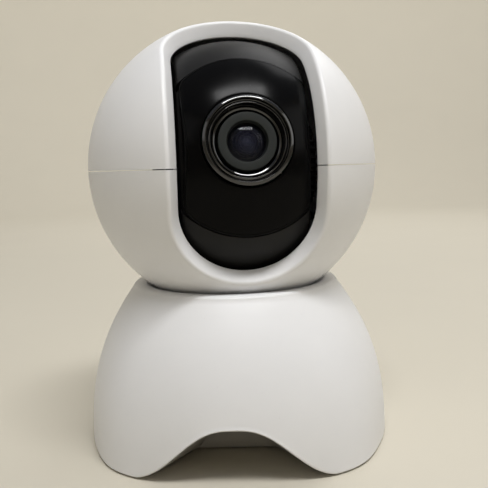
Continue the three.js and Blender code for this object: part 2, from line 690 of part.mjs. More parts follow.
function buildHead(group) {
  place(group, 'head_upper_shell', headUpperShell(), 'shell');
  place(group, 'head_lower_shell', headLowerShell(), 'shell');
  place(group, 'yoke', yoke(), 'graphite');
  place(group, 'pan_hub', panHub(), 'gear');
  place(group, 'pan_gear', panGear(), 'gear');
  HUB_SCREW_TURNS.forEach((turn, i) => {
    const headZ = HUB_BOTTOM_Z - HEAD_CENTRE_Z - 1.6;
    const fastener = screw([HUB_SCREW_RADIUS, 0], headZ, -35.4, 0.9).rotate([0, 0, turn]);
    place(group, `hub_screw_${i + 1}`, fastener, 'steel');
  });
  place(group, 'tilt_motor', tiltMotor(), 'steel');
  [-1, 1].forEach((side, i) => place(group, `tilt_motor_screw_${i + 1}`, tiltMotorScrew(side), 'steel'));
  ['right', 'left'].forEach((hand, i) => {
    const x = i === 0 ? 1 : -1;
    const [screwX, screwY] = SHELL_SCREW_XY;
    place(group, `shell_screw_${hand}`, screw([x * screwX, screwY], -12, 9), 'steel');
    place(group, `yoke_screw_${hand}`, screw([x * WING_X, 0], WING_Z + 1.5, -22), 'steel');
  });
  place(group, 'wifi_antenna', block([-19, -18.2], [5, 19], [-9, 9]), 'board');
  place(group, 'microphone', rod('x', 2.4, [-20.6, -18.3], [-1.2, 8.6], 20), 'component');
  place(group, 'tilt_pinion', tiltPinion(), 'gear');
}

function buildDrum(group) {
  place(group, 'drum_housing', drumHousing(), 'graphite');
  place(group, 'drum_rear_cover', block([-13.2, 13.2], [8.6, 10.2], [-24.8, 24.8]), 'graphite');
  place(group, 'front_panel', frontPanel(), 'gloss');
  place(group, 'lens_bezel', lensBezel(), 'gloss');
  place(group, 'lens_barrel', lensBarrel(), 'component');
  place(group, 'front_lens', frontLens(), 'glass');
  place(group, 'inner_lens', innerLens(), 'glass');
  place(group, 'lens_holder', lensHolder(), 'component');
  place(group, 'lamp_board', lampBoard(), 'board');
  lampPlaces().forEach((xz, i) => {
    place(group, i < 5 ? `infrared_lamp_${i + 1}` : 'light_sensor', infraredLamp(xz), 'glass');
  });
  place(group, 'image_sensor', block([-3.6, 3.6], [-10.6, -9.6], [-3.6, 3.6]), 'glass');
  place(group, 'sensor_board', sensorBoard(), 'board');
  place(group, 'board_screw_1', boardScrew(1, 1), 'steel');
  place(group, 'board_screw_2', boardScrew(-1, -1), 'steel');
  place(group, 'main_board', block([-12, 12], [-4.8, -3.4], [-14.5, 22]), 'board');
  place(group, 'heat_spreader', heatSpreader(), 'steel');
  place(group, 'card_slot', cardSlot(), 'steel');
  place(group, 'tilt_shaft_right', tiltShaft(1), 'steel');
  place(group, 'tilt_shaft_left', tiltShaft(-1), 'steel');
  place(group, 'tilt_gear', tiltGear(), 'gear');
}

const camera = new THREE.Group();
const head = new THREE.Group();
head.position.z = HEAD_CENTRE_Z;
head.rotation.z = radians(HEAD_PAN_DEG);
const drum = new THREE.Group();
drum.rotation.x = radians(-LENS_TILT_DEG);
buildBase(camera);
buildHead(head);
buildDrum(drum);
head.add(drum);
camera.add(head);

export default camera;
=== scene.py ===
"""The looks of a pan-tilt baby monitor camera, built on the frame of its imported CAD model."""

import json
import logging
import math
from dataclasses import dataclass
from enum import Enum
from typing import Callable, Sequence

import bmesh
import bpy
from mathutils import Matrix, Vector


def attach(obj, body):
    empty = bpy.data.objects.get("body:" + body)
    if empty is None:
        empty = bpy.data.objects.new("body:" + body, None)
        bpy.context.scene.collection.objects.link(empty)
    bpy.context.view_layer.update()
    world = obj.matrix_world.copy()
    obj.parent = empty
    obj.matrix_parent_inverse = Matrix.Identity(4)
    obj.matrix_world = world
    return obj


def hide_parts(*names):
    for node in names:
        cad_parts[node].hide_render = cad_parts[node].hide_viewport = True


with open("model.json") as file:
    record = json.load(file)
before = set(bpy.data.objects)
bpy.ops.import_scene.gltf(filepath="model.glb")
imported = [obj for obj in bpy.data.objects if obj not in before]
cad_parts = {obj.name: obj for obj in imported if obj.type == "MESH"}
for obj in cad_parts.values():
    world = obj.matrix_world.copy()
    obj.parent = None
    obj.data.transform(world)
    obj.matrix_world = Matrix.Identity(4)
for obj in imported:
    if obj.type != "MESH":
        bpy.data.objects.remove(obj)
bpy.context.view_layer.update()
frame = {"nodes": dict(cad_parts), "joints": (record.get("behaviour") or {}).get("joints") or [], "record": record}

LOG = logging.getLogger("camera")

MM = 0.001
MERGE = 0.002  # mm between points that are one point
PLACES = 4  # decimals of a millimetre that tell points apart
SHARP_DEG = 34.0  # a crease sharper than this shows as an edge

Profile = Sequence[tuple[float, float]]
Colour = tuple[float, float, float]


class Axis(Enum):
    """The axis that a turned piece or a bar stands on."""

    X = "X"
    FORWARD = "FORWARD"
    BACK = "BACK"
    Z = "Z"

    @property
    def turn(self) -> Matrix:
        """The rotation that takes +Z to this axis."""
        if self is Axis.X:
            return Matrix.Rotation(math.radians(90), 4, "Y")
        if self is Axis.FORWARD:
            return Matrix.Rotation(math.radians(90), 4, "X")
        if self is Axis.BACK:
            return Matrix.Rotation(math.radians(-90), 4, "X")
        return Matrix.Identity(4)


class Cut(Enum):
    """What a tool does to a blank."""

    REMOVE = "DIFFERENCE"
    KEEP = "INTERSECT"
    ADD = "UNION"


class Slot(Enum):
    """The record's material slots."""

    SHELL = "shell"
    GRAPHITE = "graphite"
    GLOSS_PANEL = "gloss_panel"
    LENS_GLASS = "lens_glass"
    LAMP_GLASS = "lamp_glass"
    RUBBER = "rubber"
    MOULDING = "moulding"
    GEAR_PLASTIC = "gear_plastic"
    STEEL = "steel"
    HEAT_SPREADER = "heat_spreader"
    CIRCUIT_BOARD = "circuit_board"
    COMPONENT = "component"


# ---- shader graphs ----


class Wire:
    """A shader socket's value, on which ordinary arithmetic adds Math nodes."""

    def __init__(self, graph: "Graph", socket: bpy.types.NodeSocket) -> None:
        """Keeps the graph and the socket that carries the value."""
        self.graph = graph
        self.socket = socket

    def _math(self, operation: str, *values: "Wire | float") -> "Wire":
        """The result of a Math node on some values."""
        return self.graph.node("ShaderNodeMath", {"operation": operation}, dict(enumerate(values))).out()

    def __add__(self, other: "Wire | float") -> "Wire":
        """This value plus another."""
        return self._math("ADD", self, other)

    __radd__ = __add__

    def __mul__(self, other: "Wire | float") -> "Wire":
        """This value times another."""
        return self._math("MULTIPLY", self, other)

    __rmul__ = __mul__

    def __sub__(self, other: "Wire | float") -> "Wire":
        """This value less another."""
        return self._math("SUBTRACT", self, other)

    def __rsub__(self, other: "Wire | float") -> "Wire":
        """Another value less this one."""
        return self._math("SUBTRACT", other, self)

    def __truediv__(self, other: "Wire | float") -> "Wire":
        """This value over another."""
        return self._math("DIVIDE", self, other)

    def __pow__(self, other: "Wire | float") -> "Wire":
        """This value to a power."""
        return self._math("POWER", self, other)

    def wave(self) -> "Wire":
        """The sine of this value, moved to between 0 and 1."""
        return self._math("SINE", self) * 0.5 + 0.5

    def above(self, level: float, softness: float) -> "Wire":
        """A mask that is 1 where this value is above a level and fades to 0 below it.

        Args:
            level: the value at which the mask reaches one half.
            softness: the width of the fade, in the value's own units.

        Returns:
            The mask, from 0 to 1.
        """
        settings = {"interpolation_type": "SMOOTHSTEP"}
        sockets = {"Value": self, "From Min": level - softness / 2, "From Max": level + softness / 2}
        return self.graph.node("ShaderNodeMapRange", settings, sockets).out("Result")


class NodeHandle:
    """A node that has been added to a graph."""

    def __init__(self, graph: "Graph", made: bpy.types.Node) -> None:
        """Keeps the graph and the node."""
        self.graph = graph
        self.made = made

    def out(self, name: str | int = 0) -> Wire:
        """One of the node's outputs, by name or place."""
        return Wire(self.graph, self.made.outputs[name])


class Graph:
    """The node tree of one material."""

    def __init__(self, name: str) -> None:
        """Starts an empty material."""
        self.material = bpy.data.materials.new(name)
        self.material.use_nodes = True
        self.tree = self.material.node_tree
        self.tree.nodes.clear()

    def node(self, kind: str, settings: dict | None = None, sockets: dict | None = None) -> NodeHandle:
        """Adds a node of any type.

        Args:
            kind: the node's type name.
            settings: its properties, which are set first; "stops" holds a ramp's places and colours.
            sockets: values or wires for its inputs, by name or place.

        Returns:
            The node.
        """
        made = self.tree.nodes.new(kind)
        for key, value in (settings or {}).items():
            if key == "stops":
                ramp = made.color_ramp
                while len(ramp.elements) < len(value):
                    ramp.elements.new(0.5)
                for element, (position, colour) in zip(ramp.elements, value):
                    element.position = position
                    element.color = (*colour, 1.0)
            else:
                setattr(made, key, value)
        for key, value in (sockets or {}).items():
            if isinstance(value, Wire):
                self.tree.links.new(value.socket, made.inputs[key])
            elif hasattr(value, "__len__") and len(made.inputs[key].default_value) == 4 and len(value) == 3:
                made.inputs[key].default_value = (*value, 1.0)
            else:
                made.inputs[key].default_value = value
        return NodeHandle(self, made)

    def place(self, centre: Vector = Vector(), turn: Sequence[float] = (0, 0, 0)) -> Wire:
        """Object coordinates about a centre, turned into a sub-assembly's own axes.

        Args:
            centre: the point that becomes the origin, in metres.
            turn: the Euler angles that undo the sub-assembly's own, in radians.

        Returns:
            The coordinates, in metres.
        """
        whole = self.node("ShaderNodeTexCoord").out("Object")
        moved = self.node("ShaderNodeVectorMath", {"operation": "SUBTRACT"}, {0: whole, 1: centre}).out()
        sockets = {"Vector": moved, "Rotation": turn}
        return self.node("ShaderNodeMapping", {"vector_type": "POINT"}, sockets).out()

    def noise(self, place: Wire, size_mm: float, detail: float = 2.0, roughness: float = 0.5) -> Wire:
        """Noise whose blobs have about a given size.

        Args:
            place: the coordinates it lies on.
            size_mm: the size of a blob in millimetres.
            detail: how many octaves it has.
            roughness: how strong the finer octaves are.

        Returns:
            The noise, from 0 to 1.
        """
        sockets = {"Vector": place, "Scale": 1 / (size_mm * MM), "Detail": detail, "Roughness": roughness}
        return self.node("ShaderNodeTexNoise", None, sockets).out("Fac")

    def cells(self, place: Wire, size_mm: float, feature: str = "F1") -> NodeHandle:
        """A Voronoi texture whose cells have about a given size."""
        sockets = {"Vector": place, "Scale": 1 / (size_mm * MM)}
        return self.node("ShaderNodeTexVoronoi", {"feature": feature}, sockets)

    def axes(self, place: Wire) -> tuple[Wire, Wire, Wire]:
        """The three parts of some coordinates."""
        split = self.node("ShaderNodeSeparateXYZ", None, {0: place})
        return split.out(0), split.out(1), split.out(2)

    def blend(self, share: Wire, first: "Colour | Wire", second: "Colour | Wire") -> Wire:
        """A colour between two others.

        Args:
            share: 0 for the first and 1 for the second.
            first: a colour or a wire.
            second: a colour or a wire.

        Returns:
            The mixed colour.
        """
        settings = {"data_type": "RGBA", "clamp_factor": True}
        return self.node("ShaderNodeMix", settings, {0: share, 6: first, 7: second}).out(2)

    def ramp(self, value: Wire, stops: Sequence[tuple[float, Colour]]) -> Wire:
        """The colour of a value on a ramp."""
        return self.node("ShaderNodeValToRGB", {"stops": stops}, {0: value}).out("Color")

    def bump(self, height: Wire, depth_mm: float, strength: float = 1.0) -> Wire:
        """A normal from a height map.

        Args:
            height: the height, from 0 to 1.
            depth_mm: how deep 0 to 1 is, in millimetres.
            strength: how strongly it counts.

        Returns:
            The normal.
        """
        return self.node("ShaderNodeBump", None, {"Height": height, "Distance": depth_mm * MM,
                                                  "Strength": strength}).out()

    def surface(self, **sockets: object) -> bpy.types.Material:
        """Finishes the material with a Principled shader.

        Args:
            sockets: the shader's inputs, with underscores for spaces.

        Returns:
            The material.
        """
        named = {key.replace("_", " "): value for key, value in sockets.items()}
        shader = self.node("ShaderNodeBsdfPrincipled", None, named)
        self.node("ShaderNodeOutputMaterial", None, {"Surface": shader.out("BSDF")})
        return self.material


# ---- finishes ----


@dataclass(frozen=True)
class Finish:
    """A finish that fills one of the record's slots."""

    name: str
    slot: Slot

    def material(self) -> bpy.types.Material:
        """The finish's material, made once."""
        return bpy.data.materials.get(self.name) or self.draw(Graph(self.name))

    def draw(self, graph: Graph) -> bpy.types.Material:
        """Draws the finish's nodes; each kind of finish has its own."""
        raise NotImplementedError


@dataclass(frozen=True)
class MouldedFinish(Finish):
    """Injection-moulded plastic with a spark-eroded grain and slight clouding."""

    colour: Colour
    shade: Colour
    roughness: float
    grain_mm: float = 0.22
    grain_depth_mm: float = 0.006
    cloud_mm: float = 14.0
    roughness_spread: float = 0.08
    specular: float = 0.5
    dust: float = 0.0

    def draw(self, graph: Graph) -> bpy.types.Material:
        """Draws clouded colour, mottled gloss, fine grain and a little dust."""
        place = graph.place()
        cloud = graph.noise(place, self.cloud_mm, 3.0)
        mottle = graph.noise(place, self.cloud_mm / 5, 4.0, 0.6)
        grain = graph.noise(place, self.grain_mm, 2.0)
        colour = graph.blend(cloud * 0.7 + mottle * 0.3, self.colour, self.shade)
        if self.dust:
            specks = 1 - graph.cells(place, 1.7).out("Distance").above(0.07, 0.05)
            settled = specks * mottle.above(0.56, 0.1) * self.dust
            colour = graph.blend(settled, colour, (0.55, 0.54, 0.52))
        roughness = self.roughness + (mottle - 0.5) * self.roughness_spread + (grain - 0.5) * 0.06
        return graph.surface(
            Base_Color=colour,
            Roughness=roughness,
            Normal=graph.bump(grain, self.grain_depth_mm),
            Specular_IOR_Level=self.specular,
        )


@dataclass(frozen=True)
class GlossFinish(Finish):
    """Polished black plastic with a clear film, and the faint smears of handling."""

    colour: Colour
    tint: Colour
    roughness: float
    specular: float

    def draw(self, graph: Graph) -> bpy.types.Material:
        """Draws the deep colour with smears that only change the gloss."""
        place = graph.place()
        smear = graph.noise(place, 9.0, 4.0, 0.6)
        film = graph.noise(place, 30.0, 1.0)
        specks = 1 - graph.cells(place, 2.6).out("Distance").above(0.04, 0.04)
        colour = graph.blend(film, self.colour, self.tint)
        colour = graph.blend(specks * smear.above(0.6, 0.1) * 0.5, colour, (0.12, 0.12, 0.12))
        roughness = self.roughness + smear.above(0.58, 0.3) * 0.05
        return graph.surface(
            Base_Color=colour,
            Roughness=roughness,
            Normal=graph.bump(film, 0.004),
            Specular_IOR_Level=self.specular,
        )


@dataclass(frozen=True)
class LensFinish(Finish):
    """Coated optical glass, with a painted reflection in its colour: the coating's bluish sheen and faint lighter
    rings of the inner lenses about the lens axis.
    """

    centre: Vector
    turn: tuple[float, float, float]
    deep: Colour
    coating_reflection: Colour
    reach_mm: float
    ring_mm: float
    alpha: float
    specular: float

    def draw(self, graph: Graph) -> bpy.types.Material:
        """Draws a painted reflection by distance from the lens axis: the coating's bluish tint and lighter rings,
        fading to black at the rim.
        """
        side, _, up = graph.axes(graph.place(self.centre, self.turn))
        away = (side * side + up * up) ** 0.5 / (self.reach_mm * MM)
        # painted reflection: lighter rings that stand for the inner lenses seen through the glass
        rings = (away * (2 * math.pi * self.reach_mm / self.ring_mm)).wave() ** 4.0
        # painted reflection: the coating's bluish tint, lightest at the axis and fading to near black at the rim
        body = graph.ramp(away, [
            (0.0, self.coating_reflection),
            (0.5, tuple((a + b) / 2 for a, b in zip(self.coating_reflection, self.deep))),
            (0.85, self.deep),
            (1.0, (0.002, 0.002, 0.003)),
        ])
        # the rings are painted lighter, a painted reflection that fades towards the rim
        colour = graph.blend(rings * 0.35 * (1 - away), body, (0.12, 0.13, 0.2))
        return graph.surface(
            Base_Color=colour,
            Roughness=0.03 + away * 0.02,
            Alpha=self.alpha,
            Specular_IOR_Level=self.specular,
        )


@dataclass(frozen=True)
class MetalFinish(Finish):
    """Plated or drawn metal with fine scratches and dull patches."""

    colour: Colour
    shade: Colour
    roughness: float
    scratch_mm: float = 0.12

    def draw(self, graph: Graph) -> bpy.types.Material:
        """Draws drawn-out scratches, dull patches and a slight tarnish."""
        place = graph.place()
        long = graph.node("ShaderNodeMapping", None, {"Vector": place, "Scale": (1.0, 0.12, 1.0)}).out()
        scratch = graph.noise(long, self.scratch_mm, 3.0, 0.7)
        patch = graph.noise(place, 5.0, 3.0)
        return graph.surface(
            Base_Color=graph.blend(patch, self.colour, self.shade),
            Metallic=0.92 + patch * 0.08,
            Roughness=self.roughness + (scratch - 0.5) * 0.18 + (patch - 0.5) * 0.16,
            Normal=graph.bump(scratch, 0.004),
        )


@dataclass(frozen=True)
class BoardFinish(Finish):
    """Solder mask over copper tracks, with tinned pads and vias."""

    mask: Colour
    track: Colour
    pad: Colour

    def draw(self, graph: Graph) -> bpy.types.Material:
        """Draws tracks along two directions, and vias as tinned dots."""
        place = graph.place()
        weave = graph.cells(place, 3.2, "DISTANCE_TO_EDGE").out("Distance")
        tracks = 1 - weave.above(0.09, 0.02)
        vias = 1 - graph.cells(place, 2.1).out("Distance").above(0.16, 0.03)
        cloud = graph.noise(place, 6.0)
        mask = graph.blend(cloud * 0.5, self.mask, (0.02, 0.1, 0.045))
        colour = graph.blend(tracks * 0.8, mask, self.track)
        return graph.surface(
            Base_Color=graph.blend(vias, colour, self.pad),
            Metallic=vias * 0.9,
            Roughness=0.38 - vias * 0.12 + (cloud - 0.5) * 0.1,
            Normal=graph.bump(tracks + vias, 0.03),
        )


@dataclass(frozen=True)
class RubberFinish(Finish):
    """Soft rubber with a dry bloom."""

    colour: Colour
    bloom: Colour

    def draw(self, graph: Graph) -> bpy.types.Material:
        """Draws a dry, dusty surface with a pebbled skin."""
        place = graph.place()
        bloom = graph.noise(place, 4.0, 5.0, 0.65)
        pebble = graph.noise(place, 0.35, 2.0)
        return graph.surface(
            Base_Color=graph.blend(bloom.above(0.5, 0.5), self.colour, self.bloom),
            Roughness=0.78 + (bloom - 0.5) * 0.15,
            Normal=graph.bump(pebble, 0.02),
            Specular_IOR_Level=0.3,
        )


# ---- blanks ----


class Blank:
    """A mesh being worked, in millimetres in its sub-assembly's own axes."""

    def __init__(self) -> None:
        """Starts with nothing."""
        self.bm = bmesh.new()

    @classmethod
    def turned(cls, profile: Profile, axis: Axis, steps: int, corners: dict[int, float] | None = None,
               segments: int = 5) -> "Blank":
        """A closed profile spun about an axis through the origin.

        Args:
            profile: (radius, distance along the axis) points, the last joined to the first.
            axis: the axis it is spun about.
            steps: how many steps there are round it.
            corners: radii of the rounded corners, by the number of the profile point.
            segments: how many edges round each rounded corner.

        Returns:
            The blank.
        """
        blank = cls()
        verts = [blank.bm.verts.new((radius, 0, along)) for radius, along in profile]
        for first, second in zip(verts, verts[1:] + verts[:1]):
            if max(first.co.x, second.co.x) > MERGE:
                blank.bm.edges.new((first, second))
        for index, radius in (corners or {}).items():
            bmesh.ops.bevel(blank.bm, geom=[verts[index]], offset=radius, offset_type="OFFSET",
                            segments=segments, profile=0.5, affect="VERTICES", material=-1)
        bmesh.ops.spin(blank.bm, geom=blank.bm.verts[:] + blank.bm.edges[:], cent=(0, 0, 0), axis=(0, 0, 1),
                       angle=2 * math.pi, steps=steps, use_merge=True, use_duplicate=False)
        blank.bm.transform(axis.turn)
        return blank.sealed()

    @classmethod
    def shaped(cls, place: Callable[[float, float], Vector], across: int, along: int) -> "Blank":
        """A grid of quads bent to a surface.

        Args:
            place: the surface's point for two shares from 0 to 1.
            across: the number of faces in the first direction.
            along: the number of faces in the second.

        Returns:
            The blank.
        """
        blank = cls()
        bmesh.ops.create_grid(blank.bm, x_segments=across, y_segments=along, size=0.5)
        for vert in blank.bm.verts:
            vert.co = place(vert.co.x + 0.5, vert.co.y + 0.5)
        return blank.sealed()

    @classmethod
    def bar(cls, axis: Axis, radius: float, span: tuple[float, float], centre: Sequence[float] = (0, 0, 0),
            steps: int = 32, edge: float = 0.0) -> "Blank":
        """A round bar.

        Args:
            axis: its axis.
            radius: its radius.
            span: where it starts and ends along its axis.
            centre: a point that its axis goes through.
            steps: the number of faces round it.
            edge: the radius of its rounded ends, if any.

        Returns:
            The blank.
        """
        blank = cls()
        bmesh.ops.create_cone(blank.bm, cap_ends=True, segments=steps, radius1=radius, radius2=radius,
                              depth=span[1] - span[0])
        if edge:
            rims = [e for e in blank.bm.edges if abs(e.verts[0].co.z - e.verts[1].co.z) < MERGE]
            bmesh.ops.bevel(blank.bm, geom=rims, offset=edge, offset_type="OFFSET", segments=3, profile=0.5,
                            affect="EDGES", material=-1)
        blank.bm.transform(Matrix.Translation((0, 0, (span[0] + span[1]) / 2)))
        blank.bm.transform(axis.turn)
        blank.bm.transform(Matrix.Translation(centre))
        return blank

    @classmethod
    def block(cls, low: Sequence[float], high: Sequence[float], edge: float = 0.0,
              segments: int = 3) -> "Blank":
        """A block with rounded edges.

        Args:
            low: its lowest corner.
            high: its highest corner.
            edge: the radius of its edges.
            segments: the number of faces round each edge.

        Returns:
            The blank.
        """
        blank = cls()
        low, high = Vector(low), Vector(high)
        bmesh.ops.create_cube(blank.bm, size=1.0)
        blank.bm.transform(Matrix.Translation((low + high) / 2) @ Matrix.Diagonal((*(high - low), 1)))
        if edge:
            bmesh.ops.bevel(blank.bm, geom=blank.bm.edges[:], offset=edge, offset_type="OFFSET",
                            segments=segments, profile=0.5, affect="EDGES", material=-1)
        return blank

    def sealed(self) -> "Blank":
        """Merges doubled points and turns the faces outwards."""
        bmesh.ops.remove_doubles(self.bm, verts=self.bm.verts[:], dist=MERGE)
        bmesh.ops.recalc_face_normals(self.bm, faces=self.bm.faces[:])
        return self

    def ordered(self) -> "Blank":
        """Puts the points, edges and faces in an order that only their places decide."""
        ranks = {vert: rank for rank, vert in enumerate(sorted(
            self.bm.verts, key=lambda vert: tuple(round(part, PLACES) for part in vert.co)))}
        self.bm.verts.sort(key=ranks.get)
        self.bm.verts.index_update()
        for parts in (self.bm.edges, self.bm.faces):
            ranks = {part: rank for rank, part in enumerate(sorted(
                parts, key=lambda part: sorted(vert.index for vert in part.verts)))}
            parts.sort(key=ranks.get)
            parts.index_update()
        return self

    def moved(self, matrix: Matrix) -> "Blank":
        """Moves the blank."""
        self.bm.transform(matrix)
        return self

    def with_blank(self, other: "Blank") -> "Blank":
        """Takes in another blank as it stands, without joining their faces."""
        mesh = bpy.data.meshes.new("carrier")
        other.bm.to_mesh(mesh)
        self.bm.from_mesh(mesh)
        bpy.data.meshes.remove(mesh)
        return self

    def worked(self, action: Cut, tool: "Blank") -> "Blank":
        """Cuts, joins or keeps this blank with another.

        Args:
            action: what the tool does.
            tool: the other blank.

        Returns:
            This blank.
        """
        held = []
        for blank in (self, tool):
            mesh = bpy.data.meshes.new("work")
            blank.ordered().bm.to_mesh(mesh)
            held.append(bpy.data.objects.new("work", mesh))
            bpy.context.scene.collection.objects.link(held[-1])
        modifier = held[0].modifiers.new("work", "BOOLEAN")
        modifier.operation, modifier.solver, modifier.object = action.value, "EXACT", held[1]
        done = held[0].evaluated_get(bpy.context.evaluated_depsgraph_get())
        self.bm.clear()
        self.bm.from_mesh(done.to_mesh())
        done.to_mesh_clear()
        for thing in held:
            mesh = thing.data
            bpy.data.objects.remove(thing)
            bpy.data.meshes.remove(mesh)
        bmesh.ops.remove_doubles(self.bm, verts=self.bm.verts[:], dist=MERGE / 4)
        return self

    def trimmed(self, point: Sequence[float], away: Sequence[float], capped: bool = True,
                faces: Callable[[bmesh.types.BMFace], bool] | None = None) -> "Blank":
        """Trims off what lies beyond a plane.

        Args:
            point: a point on the plane.
            away: the direction of the part that goes.
            capped: whether the cut is filled.
            faces: a test for the faces that the cut reaches, if not all.

        Returns:
            This blank.
        """
        chosen = [f for f in self.bm.faces if faces is None or faces(f)]
        edges = list(dict.fromkeys(e for f in chosen for e in f.edges))
        verts = list(dict.fromkeys(v for f in chosen for v in f.verts))
        made = bmesh.ops.bisect_plane(self.bm, geom=verts + edges + chosen, dist=MERGE / 4, plane_co=point,
                                      plane_no=away, clear_outer=True, clear_inner=False)
        if capped:
            rim = [e for e in made["geom_cut"] if isinstance(e, bmesh.types.BMEdge)]
            bmesh.ops.triangle_fill(self.bm, edges=rim, use_beauty=True, use_dissolve=False)
            bmesh.ops.recalc_face_normals(self.bm, faces=self.bm.faces[:])
        return self

    def publish(self, name: str, body: str, place: Matrix, finish: Finish, *nodes: str) -> bpy.types.Object:
        """Makes the blank a finished piece.

        Args:
            name: the piece's name.
            body: the CAD body that it rides on.
            place: where its sub-assembly's axes stand, in metres.
            finish: its finish.
            nodes: the CAD nodes that it stands for.

        Returns:
            The piece.
        """
        self.ordered().bm.transform(place @ Matrix.Scale(MM, 4))
        crease = math.radians(SHARP_DEG)
        for edge in self.bm.edges:
            edge.smooth = len(edge.link_faces) == 2 and edge.calc_face_angle(0.0) < crease
        for face in self.bm.faces:
            face.smooth = True
        mesh = bpy.data.meshes.new(name)
        self.bm.to_mesh(mesh)
        self.bm.free()
        mesh.materials.append(finish.material())
        piece = bpy.data.objects.new(name, mesh)
        bpy.context.scene.collection.objects.link(piece)
        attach(piece, body)
        if nodes:
            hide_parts(*nodes)
        LOG.info("%s: %d faces on %s", name, len(mesh.polygons), body)
        return piece


# ---- where the sub-assemblies stand ----


def joint(name: str) -> dict:
    """The record's joint of that name."""
    return next(found for found in frame["joints"] if found["name"] == name)


@dataclass(frozen=True)
class Stance:
    """How the head and the lens drum stand at rest."""

    lens_tilt_deg: float = 10.9

    @property
    def centre(self) -> Vector:
        """The head's centre, which both its joints pass through."""
        return Vector(joint("lens_tilt")["pos_m"])

    @property
    def pan(self) -> float:
        """How far the head is turned, in radians, from its sideways axis."""
        x, y, _ = joint("lens_tilt")["axis"]
        return math.atan2(-y, -x)

    @property
    def head(self) -> Matrix:
        """The head's axes."""
        return Matrix.Translation(self.centre) @ Matrix.Rotation(self.pan, 4, "Z")

    @property
    def drum(self) -> Matrix:
        """The lens drum's axes, with the lens along -Y."""
        return self.head @ Matrix.Rotation(-math.radians(self.lens_tilt_deg), 4, "X")

    @property
    def undo(self) -> tuple[float, float, float]:
        """Euler angles that turn the frame's axes into the drum's."""
        return tuple(self.drum.to_3x3().inverted().to_euler())


STANCE = Stance()


@dataclass(frozen=True)
class FinishSet:
    """Every finish on the object."""

    shell: Finish = MouldedFinish(
        "white_satin", Slot.SHELL, (0.80, 0.80, 0.81), (0.755, 0.757, 0.772), 0.42,
        grain_mm=0.2, grain_depth_mm=0.004, dust=0.25)
    graphite: Finish = MouldedFinish(
        "charcoal_matte", Slot.GRAPHITE, (0.0055, 0.0053, 0.0052), (0.009, 0.0086, 0.0084), 0.45,
        grain_mm=0.25, grain_depth_mm=0.01, specular=0.2, dust=0.1)
    panel: Finish = GlossFinish(
        "black_glass_gloss", Slot.GLOSS_PANEL, (0.0012, 0.0012, 0.0015), (0.0018, 0.0017, 0.0017),
        roughness=0.2, specular=0.075)
    gloss: Finish = GlossFinish(
        "black_gloss", Slot.GLOSS_PANEL, (0.0016, 0.0016, 0.002), (0.003, 0.003, 0.003),
        roughness=0.07, specular=1.0)
    barrel: Finish = MouldedFinish(
        "barrel_matte", Slot.COMPONENT, (0.012, 0.0145, 0.0135), (0.016, 0.0185, 0.0175), 0.6,
        grain_mm=0.15, grain_depth_mm=0.006, cloud_mm=5.0, specular=0.3)
    iris: Finish = MouldedFinish(
        "iris_black", Slot.COMPONENT, (0.004, 0.004, 0.005), (0.007, 0.007, 0.009), 0.45,
        grain_mm=0.15, cloud_mm=3.0)
    # each lens finish's fourth colour is a painted reflection of the coating; its third is the dark glass towards
    # the rim
    dome: Finish = LensFinish(
        "lens_dome", Slot.LENS_GLASS, STANCE.centre, STANCE.undo, (0.002, 0.0025, 0.005),
        (0.012, 0.013, 0.026), reach_mm=4.6, ring_mm=0.8, alpha=0.4, specular=0.25)
    second_lens: Finish = LensFinish(
        "second_lens", Slot.LENS_GLASS, STANCE.centre, STANCE.undo, (0.004, 0.005, 0.01),
        (0.05, 0.055, 0.09), reach_mm=3.4, ring_mm=0.55, alpha=1.0, specular=0.5)
    lamp: Finish = GlossFinish(
        "lamp_epoxy", Slot.LAMP_GLASS, (0.02, 0.006, 0.018), (0.035, 0.01, 0.03),
        roughness=0.08, specular=0.5)
    rubber: Finish = RubberFinish("grey_rubber", Slot.RUBBER, (0.09, 0.09, 0.092), (0.16, 0.16, 0.16))
    button: Finish = RubberFinish("button_rubber", Slot.RUBBER, (0.12, 0.12, 0.122), (0.2, 0.2, 0.2))
    moulding: Finish = MouldedFinish(
        "grey_moulding", Slot.MOULDING, (0.40, 0.385, 0.36), (0.35, 0.335, 0.31), 0.6,
        grain_mm=0.3, grain_depth_mm=0.012, dust=0.3)
    acetal: Finish = MouldedFinish(
        "acetal", Slot.GEAR_PLASTIC, (0.016, 0.016, 0.017), (0.022, 0.022, 0.023), 0.38,
        grain_mm=0.5, grain_depth_mm=0.003)
    steel: Finish = MetalFinish("zinc_plate", Slot.STEEL, (0.60, 0.61, 0.62), (0.48, 0.49, 0.5), 0.32)
    aluminium: Finish = MetalFinish(
        "cast_aluminium", Slot.HEAT_SPREADER, (0.7, 0.7, 0.71), (0.6, 0.6, 0.61), 0.45, scratch_mm=0.3)
    board: Finish = BoardFinish(
        "solder_mask", Slot.CIRCUIT_BOARD, (0.015, 0.09, 0.04), (0.04, 0.2, 0.08), (0.75, 0.72, 0.65))
    component: Finish = MouldedFinish(
        "black_moulding", Slot.COMPONENT, (0.018, 0.018, 0.019), (0.03, 0.03, 0.031), 0.5)

    def of_slot(self, slot: Slot) -> Finish:
        """The finish that a carried-over CAD node of a slot takes."""
        return {
            Slot.SHELL: self.shell, Slot.GRAPHITE: self.graphite, Slot.GLOSS_PANEL: self.gloss,
            Slot.LENS_GLASS: self.dome, Slot.LAMP_GLASS: self.lamp, Slot.RUBBER: self.rubber,
            Slot.MOULDING: self.moulding, Slot.GEAR_PLASTIC: self.acetal, Slot.STEEL: self.steel,
            Slot.HEAT_SPREADER: self.aluminium, Slot.CIRCUIT_BOARD: self.board,
            Slot.COMPONENT: self.component,
        }[slot]


FINISHES = FinishSet()


# ---- the head ----


